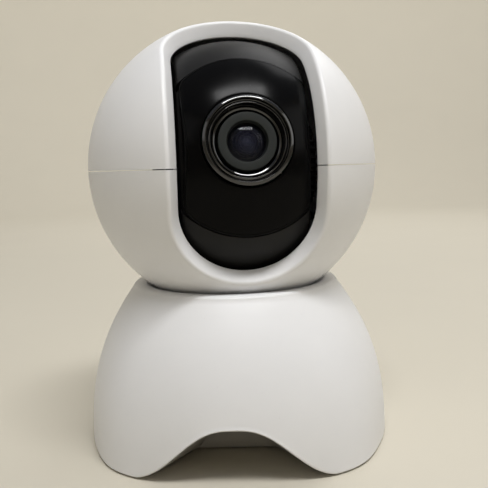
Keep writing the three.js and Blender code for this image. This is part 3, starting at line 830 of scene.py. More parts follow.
@dataclass
class HeadShell:
    """The white ball in two halves, with the round-ended opening that the lens drum looks through."""

    radius: float = 38.0
    wall: float = 2.0
    parting_gap: float = 0.24
    opening_half_deg: float = 28.2
    opening_low_deg: float = -17.9
    opening_high_deg: float = 57.5
    rim_radius: float = 33.8
    rim_wall_deg: float = 2.2
    rim_fillet: float = 0.9
    lip_fillet: float = 0.3
    neck_radius: float = 19.05
    post_xy: tuple[float, float] = (20.0, 25.0)
    post_radius: float = 3.4
    post_top: float = 20.0
    post_gap: float = 0.4  # from the parting plane to each post
    post_steps: int = 28
    screw_radius: float = 1.4
    access_radius: float = 2.4
    access_bottom: float = -40.0
    access_top: float = -10.5
    wing_post_x: float = 26.0
    wing_post_bottom: float = -27.5
    wing_post_top: float = -14.9
    wing_post_radius: float = 2.6
    wing_screw_radius: float = 1.3
    wing_post_steps: int = 24
    neck_limit: float = -20.0  # the faces trimmed for the neck are below and behind this
    neck_margin: float = 8.0
    end_steps: int = 44
    side_steps: int = 34
    sphere_steps: int = 46

    def cone(self, elevation_deg: float, half_deg: float, turn_deg: float) -> Vector:
        """A direction on a cone about an elevation.

        Args:
            elevation_deg: the elevation of the cone's axis.
            half_deg: the cone's half angle.
            turn_deg: how far round it, from the top.

        Returns:
            The unit direction.
        """
        elevation, half, turn = map(math.radians, (elevation_deg, half_deg, turn_deg))
        axis = Vector((0, -math.cos(elevation), math.sin(elevation)))
        up = Vector((0, math.sin(elevation), math.cos(elevation)))
        return (axis * math.cos(half) + up * math.sin(half) * math.cos(turn)
                + Vector((1, 0, 0)) * math.sin(half) * math.sin(turn))

    def rim(self, share: float, wider_deg: float) -> Vector:
        """A direction on the opening's outline.

        Args:
            share: how far round the outline, from 0 to 1.
            wider_deg: how far outside the outline.

        Returns:
            The unit direction.
        """
        half = self.opening_half_deg + wider_deg
        place = share * 2 * (self.end_steps + self.side_steps)
        span = self.opening_high_deg - self.opening_low_deg
        if place <= self.end_steps:
            return self.cone(self.opening_high_deg, half, -90 + 180 * place / self.end_steps)
        place -= self.end_steps
        if place <= self.side_steps:
            return self.cone(self.opening_high_deg - span * place / self.side_steps, half, 90)
        place -= self.side_steps
        if place <= self.end_steps:
            return self.cone(self.opening_low_deg, half, 90 + 180 * place / self.end_steps)
        place -= self.end_steps
        return self.cone(self.opening_low_deg + span * place / self.side_steps, half, -90)

    def section(self) -> list[tuple[float, float, float]]:
        """Stations through the shell, from the outside's back, round the rim, to the inside's back.

        Returns:
            (radius, degrees outside the outline, share of the way from there to the back) stations.
        """
        inner = self.radius - self.wall
        bend = self.rim_fillet
        degrees = math.degrees
        stations = []
        for step in range(self.sphere_steps + 1):
            stations.append((self.radius, degrees(bend / (self.radius - bend)), 1 - step / self.sphere_steps))
        for step in range(1, 9):
            angle = math.radians(90 * step / 8)
            stations.append((self.radius - bend + bend * math.cos(angle),
                             degrees(bend / (self.radius - bend)) * (1 - math.sin(angle)), 0))
        floor = self.rim_radius + self.lip_fillet
        for step in range(1, 4):
            stations.append((self.radius - bend + (floor - self.radius + bend) * step / 3, 0, 0))
        for step in range(1, 5):
            angle = math.radians(90 * step / 4)
            stations.append((floor - self.lip_fillet * math.sin(angle),
                             degrees(self.lip_fillet / floor) * (1 - math.cos(angle)), 0))
        stations.append((self.rim_radius, self.rim_wall_deg, 0))
        stations.append((inner, self.rim_wall_deg, 0))
        for step in range(1, self.sphere_steps // 2 + 1):
            stations.append((inner, self.rim_wall_deg, 2 * step / self.sphere_steps))
        return stations

    def ball(self) -> Blank:
        """The whole shell, before it is parted."""
        stations = self.section()
        back = -self.cone((self.opening_high_deg + self.opening_low_deg) / 2, 0, 0)

        def place(share: float, way: float) -> Vector:
            """The shell's point for a share round the opening and a way through the section."""
            radius, wider, onward = stations[round(way * (len(stations) - 1))]
            start = self.rim(share % 1.0, wider)
            return start.slerp(back, onward, back) * radius if onward else start * radius

        return Blank.shaped(place, 2 * (self.end_steps + self.side_steps), len(stations) - 1)

    def post(self, place: tuple[float, float], radii: tuple[float, float], span: tuple[float, float],
             steps: int) -> Blank:
        """A screw post.

        Args:
            place: where it stands, across and back.
            radii: the radii of its hole and of its outside.
            span: where it starts and ends in height.
            steps: the number of faces round it.

        Returns:
            The blank, trimmed to the inside of the ball.
        """
        bore, outside = radii
        profile = [(bore, span[0]), (outside, span[0]), (outside, span[1]), (bore, span[1])]
        post = Blank.turned(profile, Axis.Z, steps).moved(Matrix.Translation((*place, 0)))
        return post.worked(Cut.KEEP, self.limit())

    def limit(self) -> Blank:
        """A ball halfway through the shell's wall, which the posts end in."""
        limit = Blank()
        bmesh.ops.create_icosphere(limit.bm, subdivisions=4, radius=self.radius - self.wall / 2)
        return limit

    def upper(self) -> Blank:
        """The upper half, with its two screw posts."""
        half = self.ball().trimmed((0, 0, self.parting_gap / 2), (0, 0, -1))
        for hand in (-1, 1):
            half.with_blank(self.post((hand * self.post_xy[0], self.post_xy[1]),
                                      (self.screw_radius, self.post_radius),
                                      (self.post_gap, self.post_top), self.post_steps))
        return half

    def lower(self) -> Blank:
        """The lower half, with the neck, the posts and the two holes that the screws go in through."""
        half = self.ball().trimmed((0, 0, -self.parting_gap / 2), (0, 0, 1))
        inner = self.radius - self.wall
        middle = (self.radius + inner) / 2
        for ball_radius, outer in ((self.radius, True), (inner, False)):
            height = -math.sqrt(ball_radius ** 2 - self.neck_radius ** 2)
            half.trimmed((0, 0, height), (0, 0, -1), False, lambda face, outer=outer: (
                face.calc_center_median().z < self.neck_limit
                and (face.calc_center_median().length > middle) == outer
                and max(v.co.xy.length for v in face.verts) < self.neck_radius + self.neck_margin
                and face.calc_center_median().y > self.neck_limit))
        rims = [e for e in half.bm.edges if len(e.link_faces) == 1]
        bmesh.ops.bridge_loops(half.bm, edges=rims)
        half.sealed()
        places = [(hand * self.post_xy[0], self.post_xy[1]) for hand in (-1, 1)]
        for x, y in places:  # every cut comes before the posts, which overlap the wall
            access = (self.access_bottom, self.access_top)
            half.worked(Cut.REMOVE, Blank.bar(Axis.Z, self.access_radius, access, (x, y, 0), 40))
        for x, y in places:
            half.with_blank(self.post((x, y), (self.screw_radius, self.post_radius),
                                      (self.access_top, -self.post_gap), self.post_steps))
            half.with_blank(self.post((math.copysign(self.wing_post_x, x), 0),
                                      (self.wing_screw_radius, self.wing_post_radius),
                                      (self.wing_post_bottom, self.wing_post_top), self.wing_post_steps))
        return half

    def build(self) -> None:
        """Makes and dresses both halves."""
        self.upper().publish("head_upper_half", "head", STANCE.head, FINISHES.shell, "head_upper_shell")
        self.lower().publish("head_lower_half", "head", STANCE.head, FINISHES.shell, "head_lower_shell")


# ---- the lens drum ----


@dataclass
class LensDrum:
    """The charcoal drum, its glossy panel, and the lens with its bezel and barrel."""

    radius: float = 32.7
    half_width: float = 15.2
    wall: float = 1.6
    back_y: float = 10.5
    edge: float = 0.7
    shaft_bore: float = 2.7
    lens_bore: float = 11.2
    panel_radius: float = 33.0
    panel_half_deg: float = 39.9
    panel_half_width: float = 14.9
    panel_thickness: float = 1.6
    panel_bore: float = 10.6
    seat_gap_deg: float = 0.7
    side_fillet: float = 1.25
    end_fillet: float = 0.35
    seat_clearance: float = 0.2
    hollow_margin_deg: float = 3.0
    beyond: float = 40.0  # a distance that is well outside the drum
    card_deg: float = 75.0
    card_half_length: float = 6.2
    card_half_height: float = 1.1
    card_fillet: float = 0.5
    hole_fillet: float = 0.25
    groove_inset: float = 0.45
    groove_depth: float = 0.07
    groove_width: float = 0.2
    corner_ease: float = 26.0
    lens_radius: float = 4.4
    lens_edge: float = 29.7
    lens_apex: float = 30.95
    lens_back: float = 29.2
    zone_rows: int = 28
    arc_steps: int = 16
    steps: int = 128

    def zone(self, radius: float, half_width: float, edge: float) -> Blank:
        """A ball with two flat sides.

        Args:
            radius: the ball's radius.
            half_width: how far each flat side is from the middle.
            edge: the radius of its two rounded edges.

        Returns:
            The blank, about the X axis.
        """
        count = self.zone_rows
        profile = [(0.0, -half_width)]
        for step in range(count + 1):
            x = -half_width + 2 * half_width * step / count
            profile.append((math.sqrt(radius ** 2 - x ** 2), x))
        profile.append((0.0, half_width))
        corners = {1: edge, count + 1: edge} if edge else None
        return Blank.turned(profile, Axis.X, self.steps, corners, 6)

    def capped_cone(self, half_deg: float, floor: float, top: float) -> Blank:
        """A round region about the lens axis between two balls.

        Args:
            half_deg: its half angle from the head's centre.
            floor: the radius of the inner ball.
            top: the distance of its outer side.

        Returns:
            The blank.
        """
        half = math.radians(half_deg)
        turns = [half * i / self.arc_steps for i in range(self.arc_steps + 1)]
        arc = [(floor * math.sin(turn), floor * math.cos(turn)) for turn in turns]
        rim = (top * math.sin(half), top * math.cos(half))
        return Blank.turned([*arc, rim, (0.0, top)], Axis.FORWARD, 96)

    def casing(self) -> Blank:
        """The drum's hollow casing, open at the back."""
        hollow = self.zone(self.radius - self.wall, self.half_width - self.wall, 0)
        seat_floor = self.panel_radius - self.panel_thickness - self.seat_clearance
        hollow.worked(Cut.REMOVE, self.capped_cone(self.panel_half_deg + self.hollow_margin_deg,
                                                   self.radius - 2 * self.wall, self.beyond))
        case = self.zone(self.radius, self.half_width, self.edge)
        case.worked(Cut.REMOVE, hollow)
        case.trimmed((0, self.back_y, 0), (0, 1, 0))
        case.worked(Cut.REMOVE, self.capped_cone(self.panel_half_deg + self.seat_gap_deg, seat_floor,
                                                 self.beyond))
        case.worked(Cut.REMOVE, Blank.bar(Axis.FORWARD, self.lens_bore, (20, 45), (0, 0, 0), 96))
        case.worked(Cut.REMOVE, Blank.bar(Axis.X, self.shaft_bore, (-30, 30), (0, 0, 0), 48))
        slot = Blank.block((-self.card_half_length, -self.beyond, -self.card_half_height),
                           (self.card_half_length, -25, self.card_half_height), self.card_fillet)
        case.worked(Cut.REMOVE, slot.moved(Matrix.Rotation(math.radians(self.card_deg), 4, "X")))
        return case

    def panel_reach(self, turn: float) -> float:
        """How far the panel reaches from the lens axis.

        Args:
            turn: the angle round the lens from straight up, in radians.

        Returns:
            The angle from the lens axis, in radians, with the corners eased.
        """
        cone = math.radians(self.panel_half_deg)
        across = abs(math.sin(turn))
        flat = math.asin(min(1.0, self.panel_half_width / (self.panel_radius * max(across, 0.45))))
        return (cone ** -self.corner_ease + flat ** -self.corner_ease) ** (-1 / self.corner_ease)

    def panel(self) -> Blank:
        """The glossy panel, with rounded sides, a fine groove inside its edge and the lens hole."""
        top, bottom = self.panel_radius, self.panel_radius - self.panel_thickness

        def stations(turn: float) -> list[tuple[float, float]]:
            """(radius, angle) stations round the panel's section at one turn about the lens."""
            reach = self.panel_reach(turn)
            side = abs(math.sin(turn)) ** 6
            bend = self.end_fillet + (self.side_fillet - self.end_fillet) * side
            hole_top, hole_bottom = math.asin(self.panel_bore / top), math.asin(self.panel_bore / bottom)
            lip = self.hole_fillet
            found = [(bottom, hole_bottom), (top - lip, hole_top)]
            found += [(top - lip + lip * math.sin(math.radians(30 * i)),
                       hole_top + lip / top * (1 - math.cos(math.radians(30 * i)))) for i in (1, 2, 3)]
            last = reach - bend / top
            groove = last - self.groove_inset / top
            start = hole_top + lip / top
            found += [(top, start + (groove - start) * i / 24) for i in range(1, 25)]
            floor = top - self.groove_depth
            found += [(floor, groove + self.groove_width * part / top) for part in (0.3, 0.7)]
            found += [(top, groove + self.groove_width / top)]
            for i in range(9):
                angle = math.radians(90 * i / 8)
                found.append((top - bend + bend * math.cos(angle), last + bend / top * math.sin(angle)))
            found += [(bottom, reach)]
            found += [(bottom, reach + (hole_bottom - reach) * i / 6) for i in range(1, 7)]
            return found

        count = len(stations(0.0)) - 1

        def place(share: float, way: float) -> Vector:
            """The panel's point for a share round the lens and a way round the section."""
            turn = 2 * math.pi * (share % 1.0)
            radius, angle = stations(turn)[round(way * count)]
            return Vector((math.sin(angle) * math.sin(turn), -math.cos(angle),
                           math.sin(angle) * math.cos(turn))) * radius

        return Blank.shaped(place, 192, count)

    def bezel(self) -> Blank:
        """The ring round the lens: a proud bead, a finer second ring and the funnel down to the barrel."""
        profile = [
            (10.3, 29.4), (10.3, 32.1), (9.7, 32.37), (9.5, 32.35), (9.4, 31.4), (9.15, 31.3),
            (9.1, 31.6), (8.65, 31.82), (8.5, 31.8), (8.4, 31.1), (7.95, 30.1), (7.9, 30.42),
            (7.75, 30.45), (7.3, 30.24), (7.1, 29.6), (7.1, 27.0), (8.6, 27.0), (9.0, 29.4),
        ]
        corners = {1: 0.12, 2: 0.06, 3: 0.06, 4: 0.08, 5: 0.08, 6: 0.06, 7: 0.06, 8: 0.06, 10: 0.1,
                   12: 0.05, 13: 0.1}
        return Blank.turned(profile, Axis.FORWARD, self.steps, corners, 5)

    def barrel(self) -> Blank:
        """The lens barrel, with a matt face and a stepped bore."""
        profile = [
            (4.75, 30.72), (4.75, 30.9), (6.7, 30.9), (6.7, 27.4), (5.9, 27.0), (5.9, 16.0),
            (4.3, 16.0), (4.3, 26.6), (4.45, 27.4), (4.45, 29.6),
        ]
        return Blank.turned(profile, Axis.FORWARD, self.steps, {1: 0.12, 2: 0.14}, 4)

    def cap(self, radius: float, edge: float, apex: float, back: float) -> Blank:
        """A domed lens.

        Args:
            radius: its radius.
            edge: how far forward its rim is.
            apex: how far forward its middle is.
            back: how far forward its flat back is.

        Returns:
            The blank.
        """
        rise = apex - edge
        bend = (radius ** 2 + rise ** 2) / (2 * rise)
        sweep = math.asin(radius / bend)
        turns = [sweep * i / 14 for i in range(15)]
        arc = [(bend * math.sin(turn), apex - bend + bend * math.cos(turn)) for turn in turns]
        return Blank.turned([*arc, (radius, back), (0.0, back)], Axis.FORWARD, 96)

    def stepped_lens(self) -> Blank:
        """The second lens, a small dome inside fine concentric steps."""
        bend, reach = 1.5, 1.05
        dome = [(reach * i / 8, 27.45 + math.sqrt(bend ** 2 - (reach * i / 8) ** 2)) for i in range(9)]
        profile = [*dome, (1.25, 28.35), (1.5, 28.42), (1.7, 28.2), (2.0, 28.26), (2.2, 28.02), (2.5, 28.07),
                   (2.7, 27.82), (3.0, 27.85), (3.15, 27.6), (3.15, 27.3), (0.0, 27.3)]
        return Blank.turned(profile, Axis.FORWARD, 96)

    def iris(self) -> Blank:
        """The stepped black rings between the front lens and the second one."""
        profile = [(4.25, 28.6), (4.25, 27.9), (4.3, 27.2), (3.2, 27.2), (3.2, 27.7), (3.55, 27.75),
                   (3.6, 28.0), (3.9, 28.05), (3.95, 28.3)]
        return Blank.turned(profile, Axis.FORWARD, 96)

    def build(self) -> None:
        """Makes and dresses the drum's outer pieces."""
        place = STANCE.drum
        self.casing().publish("drum_casing", "lens_drum", place, FINISHES.graphite, "drum_housing")
        self.panel().publish("glossy_panel", "lens_drum", place, FINISHES.panel, "front_panel")
        self.bezel().publish("bezel_ring", "lens_drum", place, FINISHES.gloss, "lens_bezel")
        self.barrel().publish("barrel_sleeve", "lens_drum", place, FINISHES.barrel, "lens_barrel")
        dome = self.cap(self.lens_radius, self.lens_edge, self.lens_apex, self.lens_back)
        dome.publish("dome_lens", "lens_drum", place, FINISHES.dome, "front_lens")
        self.stepped_lens().publish("second_lens", "lens_drum", place, FINISHES.second_lens)
        self.iris().publish("iris_rings", "lens_drum", place, FINISHES.iris)


# ---- the base ----


@dataclass
class Base:
    """The flared base with its arches, the cover under it, its foot, and what shows in its rear wall."""

    foot_radius: float = 40.2
    flare: float = 13.2
    flare_power: float = 2.49
    flare_height: float = 41.3
    bottom: float = 0.3
    shoulder: float = 40.4
    rim: float = 41.5
    wall: float = 2.2
    dish_radius: float = 38.6
    head_height: float = 71.5
    well_radius: float = 19.5
    well_floor: float = 34.0
    deck_bottom: float = 32.0
    hub_hole: float = 9.5
    fullness: float = 1.6
    front_ease: float = 0.22
    arch_half: float = 27.4
    arch_height: float = 13.35
    edge: float = 0.5
    pedestal_radius: float = 17.8
    cover_gap: float = 0.4
    cover_wall: float = 1.6
    cover_top: float = 16.0
    cover_screws: tuple[tuple[float, float], ...] = ((28, 10), (-28, 10), (-28, -10), (28, -10))
    cover_post_radius: float = 2.6
    cover_post_span: tuple[float, float] = (16.3, 31.6)
    screw_radius: float = 1.35
    recess_near: tuple[float, float, float] = (-18.2, 12.5, 12.4)  # place, half width and height
    recess_far: tuple[float, float, float] = (-46.0, 35.0, 14.3)
    recess_bottom: float = -3.0
    well_fillet: float = 0.3
    lip_radius: float = 1.1
    deck_edge: float = 24.3
    inner_ease: float = 0.25
    button_xz: tuple[float, float] = (-12, 20)
    button_hole: float = 1.8
    speaker_xz: tuple[float, float] = (14, 25.5)
    speaker_pitch: float = 1.9
    speaker_hole: float = 0.55
    around: int = 240
    side_steps: int = 34

    def side(self, z: float, turn: float = 0.0) -> float:
        """The outside's radius, fuller between the sides and the arches.

        Args:
            z: the height.
            turn: the angle about the axis, in radians.

        Returns:
            The radius.
        """
        up = max(z, 0.0) / self.flare_height
        full = self.fullness * math.sin(2 * turn) ** 8 - self.front_ease * math.cos(turn) ** 16
        return self.foot_radius - self.flare * up ** self.flare_power + full * max(0.0, 1 - up)

    def fall(self, share: float) -> float:
        """A smooth fall from 1 in the middle of an arch to 0 at its end."""
        part = min(abs(share), 1.0)
        return 1 - part ** 3 * (10 - 15 * part + 6 * part ** 2)

    def arch(self, x: float) -> float:
        """The arch's height across the base, never below the base's bottom."""
        return max(self.bottom, self.arch_height * self.fall(x / self.arch_half))

    def dish(self, ball: float, radius: float) -> float:
        """The height of a ball about the head's centre, at a distance from the axis."""
        return self.head_height - math.sqrt(ball ** 2 - radius ** 2)

    def section(self, turn: float) -> list[tuple[float, float]]:
        """The base shell's closed section at one turn about the axis.

        Args:
            turn: the angle about the axis, in radians.

        Returns:
            (radius, height) stations, from the hub hole over the rim, down the side and back inside.
        """
        across = math.sin(turn)
        low = self.bottom
        for _ in range(12):
            low = 0.5 * low + 0.5 * self.arch(self.side(low, turn) * across)
        inner_low = low
        for _ in range(12):
            inner_low = 0.5 * inner_low + 0.5 * self.arch((self.side(inner_low, turn) - self.wall) * across)
        shoulder = self.side(self.shoulder)
        rim_radius = math.sqrt(self.dish_radius ** 2 - (self.head_height - self.rim) ** 2)
        inner_shoulder = self.shoulder - self.wall
        bend, ease, lip_radius = self.well_fillet, self.inner_ease, self.lip_radius
        found = [(self.hub_hole, self.well_floor), (self.well_radius - bend, self.well_floor),
                 (self.well_radius, self.well_floor + bend)]
        for i in range(9):
            radius = self.well_radius + (rim_radius - bend - self.well_radius) * i / 8
            found.append((radius, self.dish(self.dish_radius, radius)))
        found += [(rim_radius - 0.05, self.rim - 0.12), (rim_radius + 0.25, self.rim)]
        lip = (shoulder - lip_radius, self.rim - lip_radius)
        for i in range(9):
            angle = math.radians(90 - 80 * i / 8)
            found.append((lip[0] + lip_radius * math.cos(angle), lip[1] + lip_radius * math.sin(angle)))
        start = found[-1]
        for i in range(1, self.side_steps + 1):
            z = start[1] + (low + self.edge - start[1]) * i / self.side_steps
            blend = max(0.0, 1 - i / 5)
            found.append((self.side(z, turn) + (start[0] - self.side(start[1], turn)) * blend, z))
        foot = self.side(low, turn)
        for i in range(1, 9):
            angle = math.radians(90 * i / 8)
            found.append((foot - self.edge * (1 - math.cos(angle)), low + self.edge * (1 - math.sin(angle))))
        found.append((foot - self.wall + ease, low + (inner_low - low) * 0.9))
        found.append((foot - self.wall, inner_low + ease))
        for i in range(1, 15):
            z = inner_low + ease + (inner_shoulder - inner_low - ease) * i / 14
            found.append((self.side(z, turn) - self.wall, z))
        for i in range(5):
            radius = self.deck_edge + (self.well_radius + self.wall - self.deck_edge) * i / 4
            found.append((radius, self.dish(self.dish_radius + self.wall, radius)))
        found += [(self.well_radius + self.wall, self.deck_bottom), (self.hub_hole, self.deck_bottom)]
        return found

    def shell(self) -> Blank:
        """The base's outer shell, before the holes in its rear wall."""
        count = len(self.section(0.0))

        def place(share: float, way: float) -> Vector:
            """The shell's point for a share about the axis and a way round the section."""
            turn = 2 * math.pi * (share % 1.0)
            radius, height = self.section(turn)[round(way * count) % count]
            return Vector((radius * math.sin(turn), radius * math.cos(turn), height))

        return Blank.shaped(place, self.around, count)

    def rear_holes(self) -> Blank:
        """Tools for the power inlet, the reset button and the speaker's grille."""
        inlet = Blank.block((-4.4, 28, 18.3), (4.4, 45, 21.9), 1.3, 5)
        x, z = self.button_xz
        tools = inlet.with_blank(Blank.bar(Axis.BACK, self.button_hole, (28, 45), (x, 0, z), 32))
        x, z = self.speaker_xz
        for ring in range(3):
            radius, count = ring * self.speaker_pitch, max(1, 6 * ring)
            for i in range(count):
                angle = 2 * math.pi * i / count
                centre = (x + radius * math.cos(angle), 0, z + radius * math.sin(angle))
                tools.with_blank(Blank.bar(Axis.BACK, self.speaker_hole, (27, 45), centre, 16))
        return tools

    def fittings(self) -> Blank:
        """The screw posts under the deck."""
        inside = Blank()
        low, high = self.cover_post_span
        bore, outside = self.screw_radius, self.cover_post_radius
        for x, y in self.cover_screws:
            post = Blank.turned([(bore, low), (outside, low), (outside, high), (bore, high)], Axis.Z, 24)
            inside.with_blank(post.moved(Matrix.Translation((x, y, 0))))
        return inside

    def recess(self, grow: float) -> Blank:
        """The recess behind the front arch, as a closed tool that narrows towards the pedestal.

        Args:
            grow: how much it is grown on every side.

        Returns:
            The blank.
        """
        near = tuple(part + grow for part in self.recess_near)
        far = (self.recess_far[0], *(part + grow for part in self.recess_far[1:]))
        steps, rings, low = 80, 20, self.recess_bottom
        edge = 2 / steps

        def place(share: float, way: float) -> Vector:
            """A point of the recess for a share round its outline and a way back to the pedestal."""
            deep = min(max((way * (rings + 2) - 1) / rings, 0.0), 1.0)
            y, half, height = (a + (b - a) * deep for a, b in zip(far, near))
            if way < 0.5 / (rings + 2) or way > 1 - 0.5 / (rings + 2):
                return Vector((0, y, low / 3))
            if share < edge / 2 or share > 1 - edge / 2:
                return Vector((0, y, low))
            if share < edge * 0.75 or share > 1 - edge * 0.75:
                return Vector((math.copysign(half, share - 0.5), y, low))
            across = (share - edge) / (1 - 2 * edge) * 2 - 1
            return Vector((half * across, y, height * self.fall(across)))

        return Blank.shaped(place, steps, rings + 2)

    def underside(self) -> Blank:
        """The grey cover under the base, with the round pedestal and the recesses behind the arches."""
        inset = self.wall + self.cover_gap
        rows = 8
        outside = [(0.0, 1.0), (self.pedestal_radius, 1.0), (self.pedestal_radius, 0.5)]
        for i in range(rows + 1):
            z = 0.5 + 15.5 * i / rows
            outside.append((self.side(z) - inset, z))
        outside += [(0.0, self.cover_top)]
        cover = Blank.turned(outside, Axis.Z, 144)
        floor = 1 + self.cover_wall
        inside = [(0.0, floor)]
        for i in range(rows + 1):
            z = floor + 15 * i / rows
            inside.append((self.side(z) - inset - self.cover_wall, z))
        inside += [(0.0, floor + 15)]
        hollow = Blank.turned(inside, Axis.Z, 96)
        turned = Matrix.Rotation(math.pi, 4, "Z")
        for matrix in (Matrix.Identity(4), turned):
            hollow.worked(Cut.REMOVE, self.recess(self.cover_wall).moved(matrix))
        cover.worked(Cut.REMOVE, hollow)
        for matrix in (Matrix.Identity(4), turned):
            cover.worked(Cut.REMOVE, self.recess(0).moved(matrix))
        for x, y in self.cover_screws:
            cover.worked(Cut.ADD, Blank.bar(Axis.Z, 3.2, (1.2, self.cover_top - 0.1), (x, y, 0), 32))
            cover.worked(Cut.REMOVE, Blank.bar(Axis.Z, 2.5, (-1, 4), (x, y, 0), 32))
            cover.worked(Cut.REMOVE, Blank.bar(Axis.Z, self.screw_radius, (3, 20), (x, y, 0), 24))
        return cover

    def foot(self) -> Blank:
        """The rubber foot, with fine rings in its underside."""
        profile = [(0.0, 0.8), (0.0, 0.12)]
        for groove in range(7):
            start = 1.6 + 2.1 * groove
            profile += [(start, 0.12), (start + 0.2, 0.0), (start + 1.5, 0.0), (start + 1.7, 0.12)]
        profile += [(16.6, 0.12), (16.8, 0.0), (17.4, 0.0), (17.4, 0.8)]
        return Blank.turned(profile, Axis.Z, 128, {len(profile) - 2: 0.3}, 4)

    def button(self) -> Blank:
        """The reset button, dished at its end, with its flange inside the wall."""
        profile = [(0.0, 30.2), (1.5, 30.2), (1.5, 30.6), (2.4, 30.6), (2.4, 31.5), (1.5, 31.5), (1.5, 36.3),
                   (0.9, 36.3), (0.5, 36.1), (0.0, 36.05)]
        cap = Blank.turned(profile, Axis.BACK, 48, {6: 0.3}, 4)
        x, z = self.button_xz
        return cap.moved(Matrix.Translation((x, 0, z)))

    def inlet(self) -> Blank:
        """The power inlet's rounded metal shell with its tongue."""
        outer = Blank.block((-4.0, 29, 18.7), (4.0, 37, 21.5), 1.2, 6)
        outer.worked(Cut.REMOVE, Blank.block((-3.65, 31, 19.05), (3.65, 39, 21.15), 1.0, 6))
        outer.trimmed((0, 36.6, 0), (0, 1, 0), True)
        return outer.with_blank(Blank.block((-2.7, 30.5, 19.75), (2.7, 35.6, 20.45), 0.15))

    def build(self) -> None:
        """Makes and dresses the base's pieces."""
        still = Matrix.Identity(4)
        shell = self.shell().worked(Cut.REMOVE, self.rear_holes()).with_blank(self.fittings())
        shell.publish("base_body", "base", still, FINISHES.shell, "base_shell")
        self.underside().publish("underside_cover", "base", still, FINISHES.moulding, "bottom_cover")
        self.foot().publish("foot_pad", "base", still, FINISHES.rubber, "foot_disc")
        self.inlet().publish("inlet_shell", "base", still, FINISHES.steel, "power_socket")
        self.button().publish("reset_cap", "reset_button", still, FINISHES.button, "reset_button")


# ---- what stays as it is in the CAD ----


@dataclass
class CarriedNodes:
    """The CAD nodes that keep their own meshes and take a finish."""

    def build(self) -> None:
        """Dresses every CAD node by its slot, shown or not."""
        for part in frame["record"]["subparts"]:
            node = frame["nodes"][part["node"]]
            node.data.materials.clear()
            node.data.materials.append(FINISHES.of_slot(Slot(part["material_slot"])).material())
            LOG.info("%s keeps its CAD mesh unless a piece stands for it", part["node"])


# ---- the studio ----


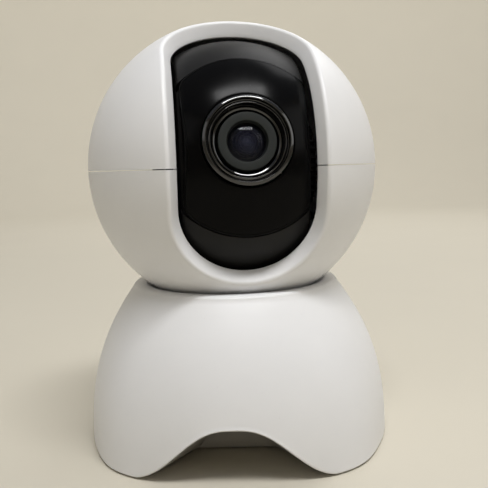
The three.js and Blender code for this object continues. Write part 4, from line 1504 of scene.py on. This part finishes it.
@dataclass
class Studio:
    """A plain pale floor that sweeps up all round, soft lights and the camera."""

    floor_radius: float = 0.9
    sweep: float = 0.5
    wall_top: float = 1.5
    floor_colour: Colour = (0.60, 0.56, 0.47)
    camera_distance: float = 0.1773
    camera_round_deg: float = 2.2
    camera_right_deg: float = 0.848
    camera_down_deg: float = 6.727
    camera_roll_deg: float = 1.6
    sensor_mm: float = 36.0
    lens_mm: float = 47.95
    world_colour: Colour = (0.9, 0.93, 1.0)
    world_strength: float = 0.27

    def floor(self) -> None:
        """Makes the floor and its sweep."""
        bm = bmesh.new()
        points = [(0.0, 0.0), (self.floor_radius, 0.0)]
        for i in range(1, 17):
            angle = math.radians(90 * i / 16)
            points.append((self.floor_radius + self.sweep * math.sin(angle),
                           self.sweep * (1 - math.cos(angle))))
        points.append((self.floor_radius + self.sweep, self.wall_top))
        verts = [bm.verts.new((x, 0, z)) for x, z in points]
        for pair in zip(verts, verts[1:]):
            bm.edges.new(pair)
        bmesh.ops.spin(bm, geom=bm.verts[:] + bm.edges[:], cent=(0, 0, 0), axis=(0, 0, 1), angle=2 * math.pi,
                       steps=96, use_merge=True, use_duplicate=False)
        bmesh.ops.remove_doubles(bm, verts=bm.verts[:], dist=1e-6)
        for face in bm.faces:
            face.smooth = True
        mesh = bpy.data.meshes.new("floor")
        bm.to_mesh(mesh)
        bm.free()
        graph = Graph("pale_floor")
        cloud = graph.noise(graph.place(), 60.0, 2.0)
        shade = tuple(part * 0.97 for part in self.floor_colour)
        colour = graph.blend(cloud, self.floor_colour, shade)
        mesh.materials.append(graph.surface(Base_Color=colour, Roughness=0.8))
        floor = bpy.data.objects.new("floor", mesh)
        bpy.context.scene.collection.objects.link(floor)

    def light(self, name: str, at: Sequence[float], watts: float, size: tuple[float, float],
              colour: Colour = (1, 1, 1), target: Sequence[float] = (0, 0, 0.06)) -> None:
        """Adds a soft oblong light.

        Args:
            name: its name.
            at: where it is, in metres.
            watts: its power.
            size: its width and height, in metres.
            colour: its colour.
            target: the point that it faces, in metres.
        """
        lamp = bpy.data.lights.new(name, "AREA")
        lamp.shape, lamp.energy, lamp.color = "RECTANGLE", watts, colour
        lamp.size, lamp.size_y = size
        holder = bpy.data.objects.new(name, lamp)
        holder.location = at
        holder.rotation_euler = (Vector(target) - Vector(at)).to_track_quat("-Z", "Y").to_euler()
        bpy.context.scene.collection.objects.link(holder)

    def camera(self) -> None:
        """Adds the camera."""
        round_angle = math.radians(self.camera_round_deg)
        right_angle, down, roll = map(math.radians, (self.camera_right_deg, self.camera_down_deg,
                                                     self.camera_roll_deg))
        centre = STANCE.centre
        level = Vector((-math.sin(round_angle), math.cos(round_angle), 0))
        eye = centre - level * self.camera_distance
        upright = Vector((0, 0, 1))
        turned = level * math.cos(right_angle) + level.cross(upright) * math.sin(right_angle)
        forward = turned * math.cos(down) - upright * math.sin(down)
        right = forward.cross(upright).normalized()
        up = right.cross(forward)
        side = right * math.cos(roll) - up * math.sin(roll)
        top = right * math.sin(roll) + up * math.cos(roll)
        data = bpy.data.cameras.new("camera")
        data.sensor_width, data.lens = self.sensor_mm, self.lens_mm
        data.clip_start, data.clip_end = 0.005, 20.0
        holder = bpy.data.objects.new("camera", data)
        axes = Matrix((side, top, -forward)).transposed().to_4x4()
        holder.matrix_world = Matrix.Translation(eye) @ axes
        bpy.context.scene.collection.objects.link(holder)
        bpy.context.scene.camera = holder

    def build(self) -> None:
        """Makes the floor, the lights and the camera."""
        world = bpy.data.worlds.new("studio")
        world.use_nodes = True
        background = world.node_tree.nodes["Background"]
        background.inputs["Color"].default_value = (*self.world_colour, 1.0)
        background.inputs["Strength"].default_value = self.world_strength
        bpy.context.scene.world = world
        bpy.context.scene.view_settings.view_transform = "Standard"
        self.floor()
        self.light("key", (0.10, -0.27, 0.72), 4.3, (0.46, 0.14))
        self.light("fill", (-0.55, -0.45, 0.5), 0.3, (0.5, 0.3), (0.95, 0.97, 1.0))
        self.light("side", (0.6, -0.25, 0.4), 0.6, (0.4, 0.4))
        self.light("top", (0.3, 0.45, 0.7), 1.5, (0.5, 0.5))
        self.light("backdrop", (0, 0.55, 0.9), 7.0, (1.2, 0.3), target=(0, 1.4, 0.35))
        self.camera()


def main() -> None:
    """Builds everything in order."""
    logging.basicConfig(level=logging.INFO, format="%(message)s")
    CarriedNodes().build()
    Base().build()
    HeadShell().build()
    LensDrum().build()
    Studio().build()


if __name__ == "__main__":
    main()
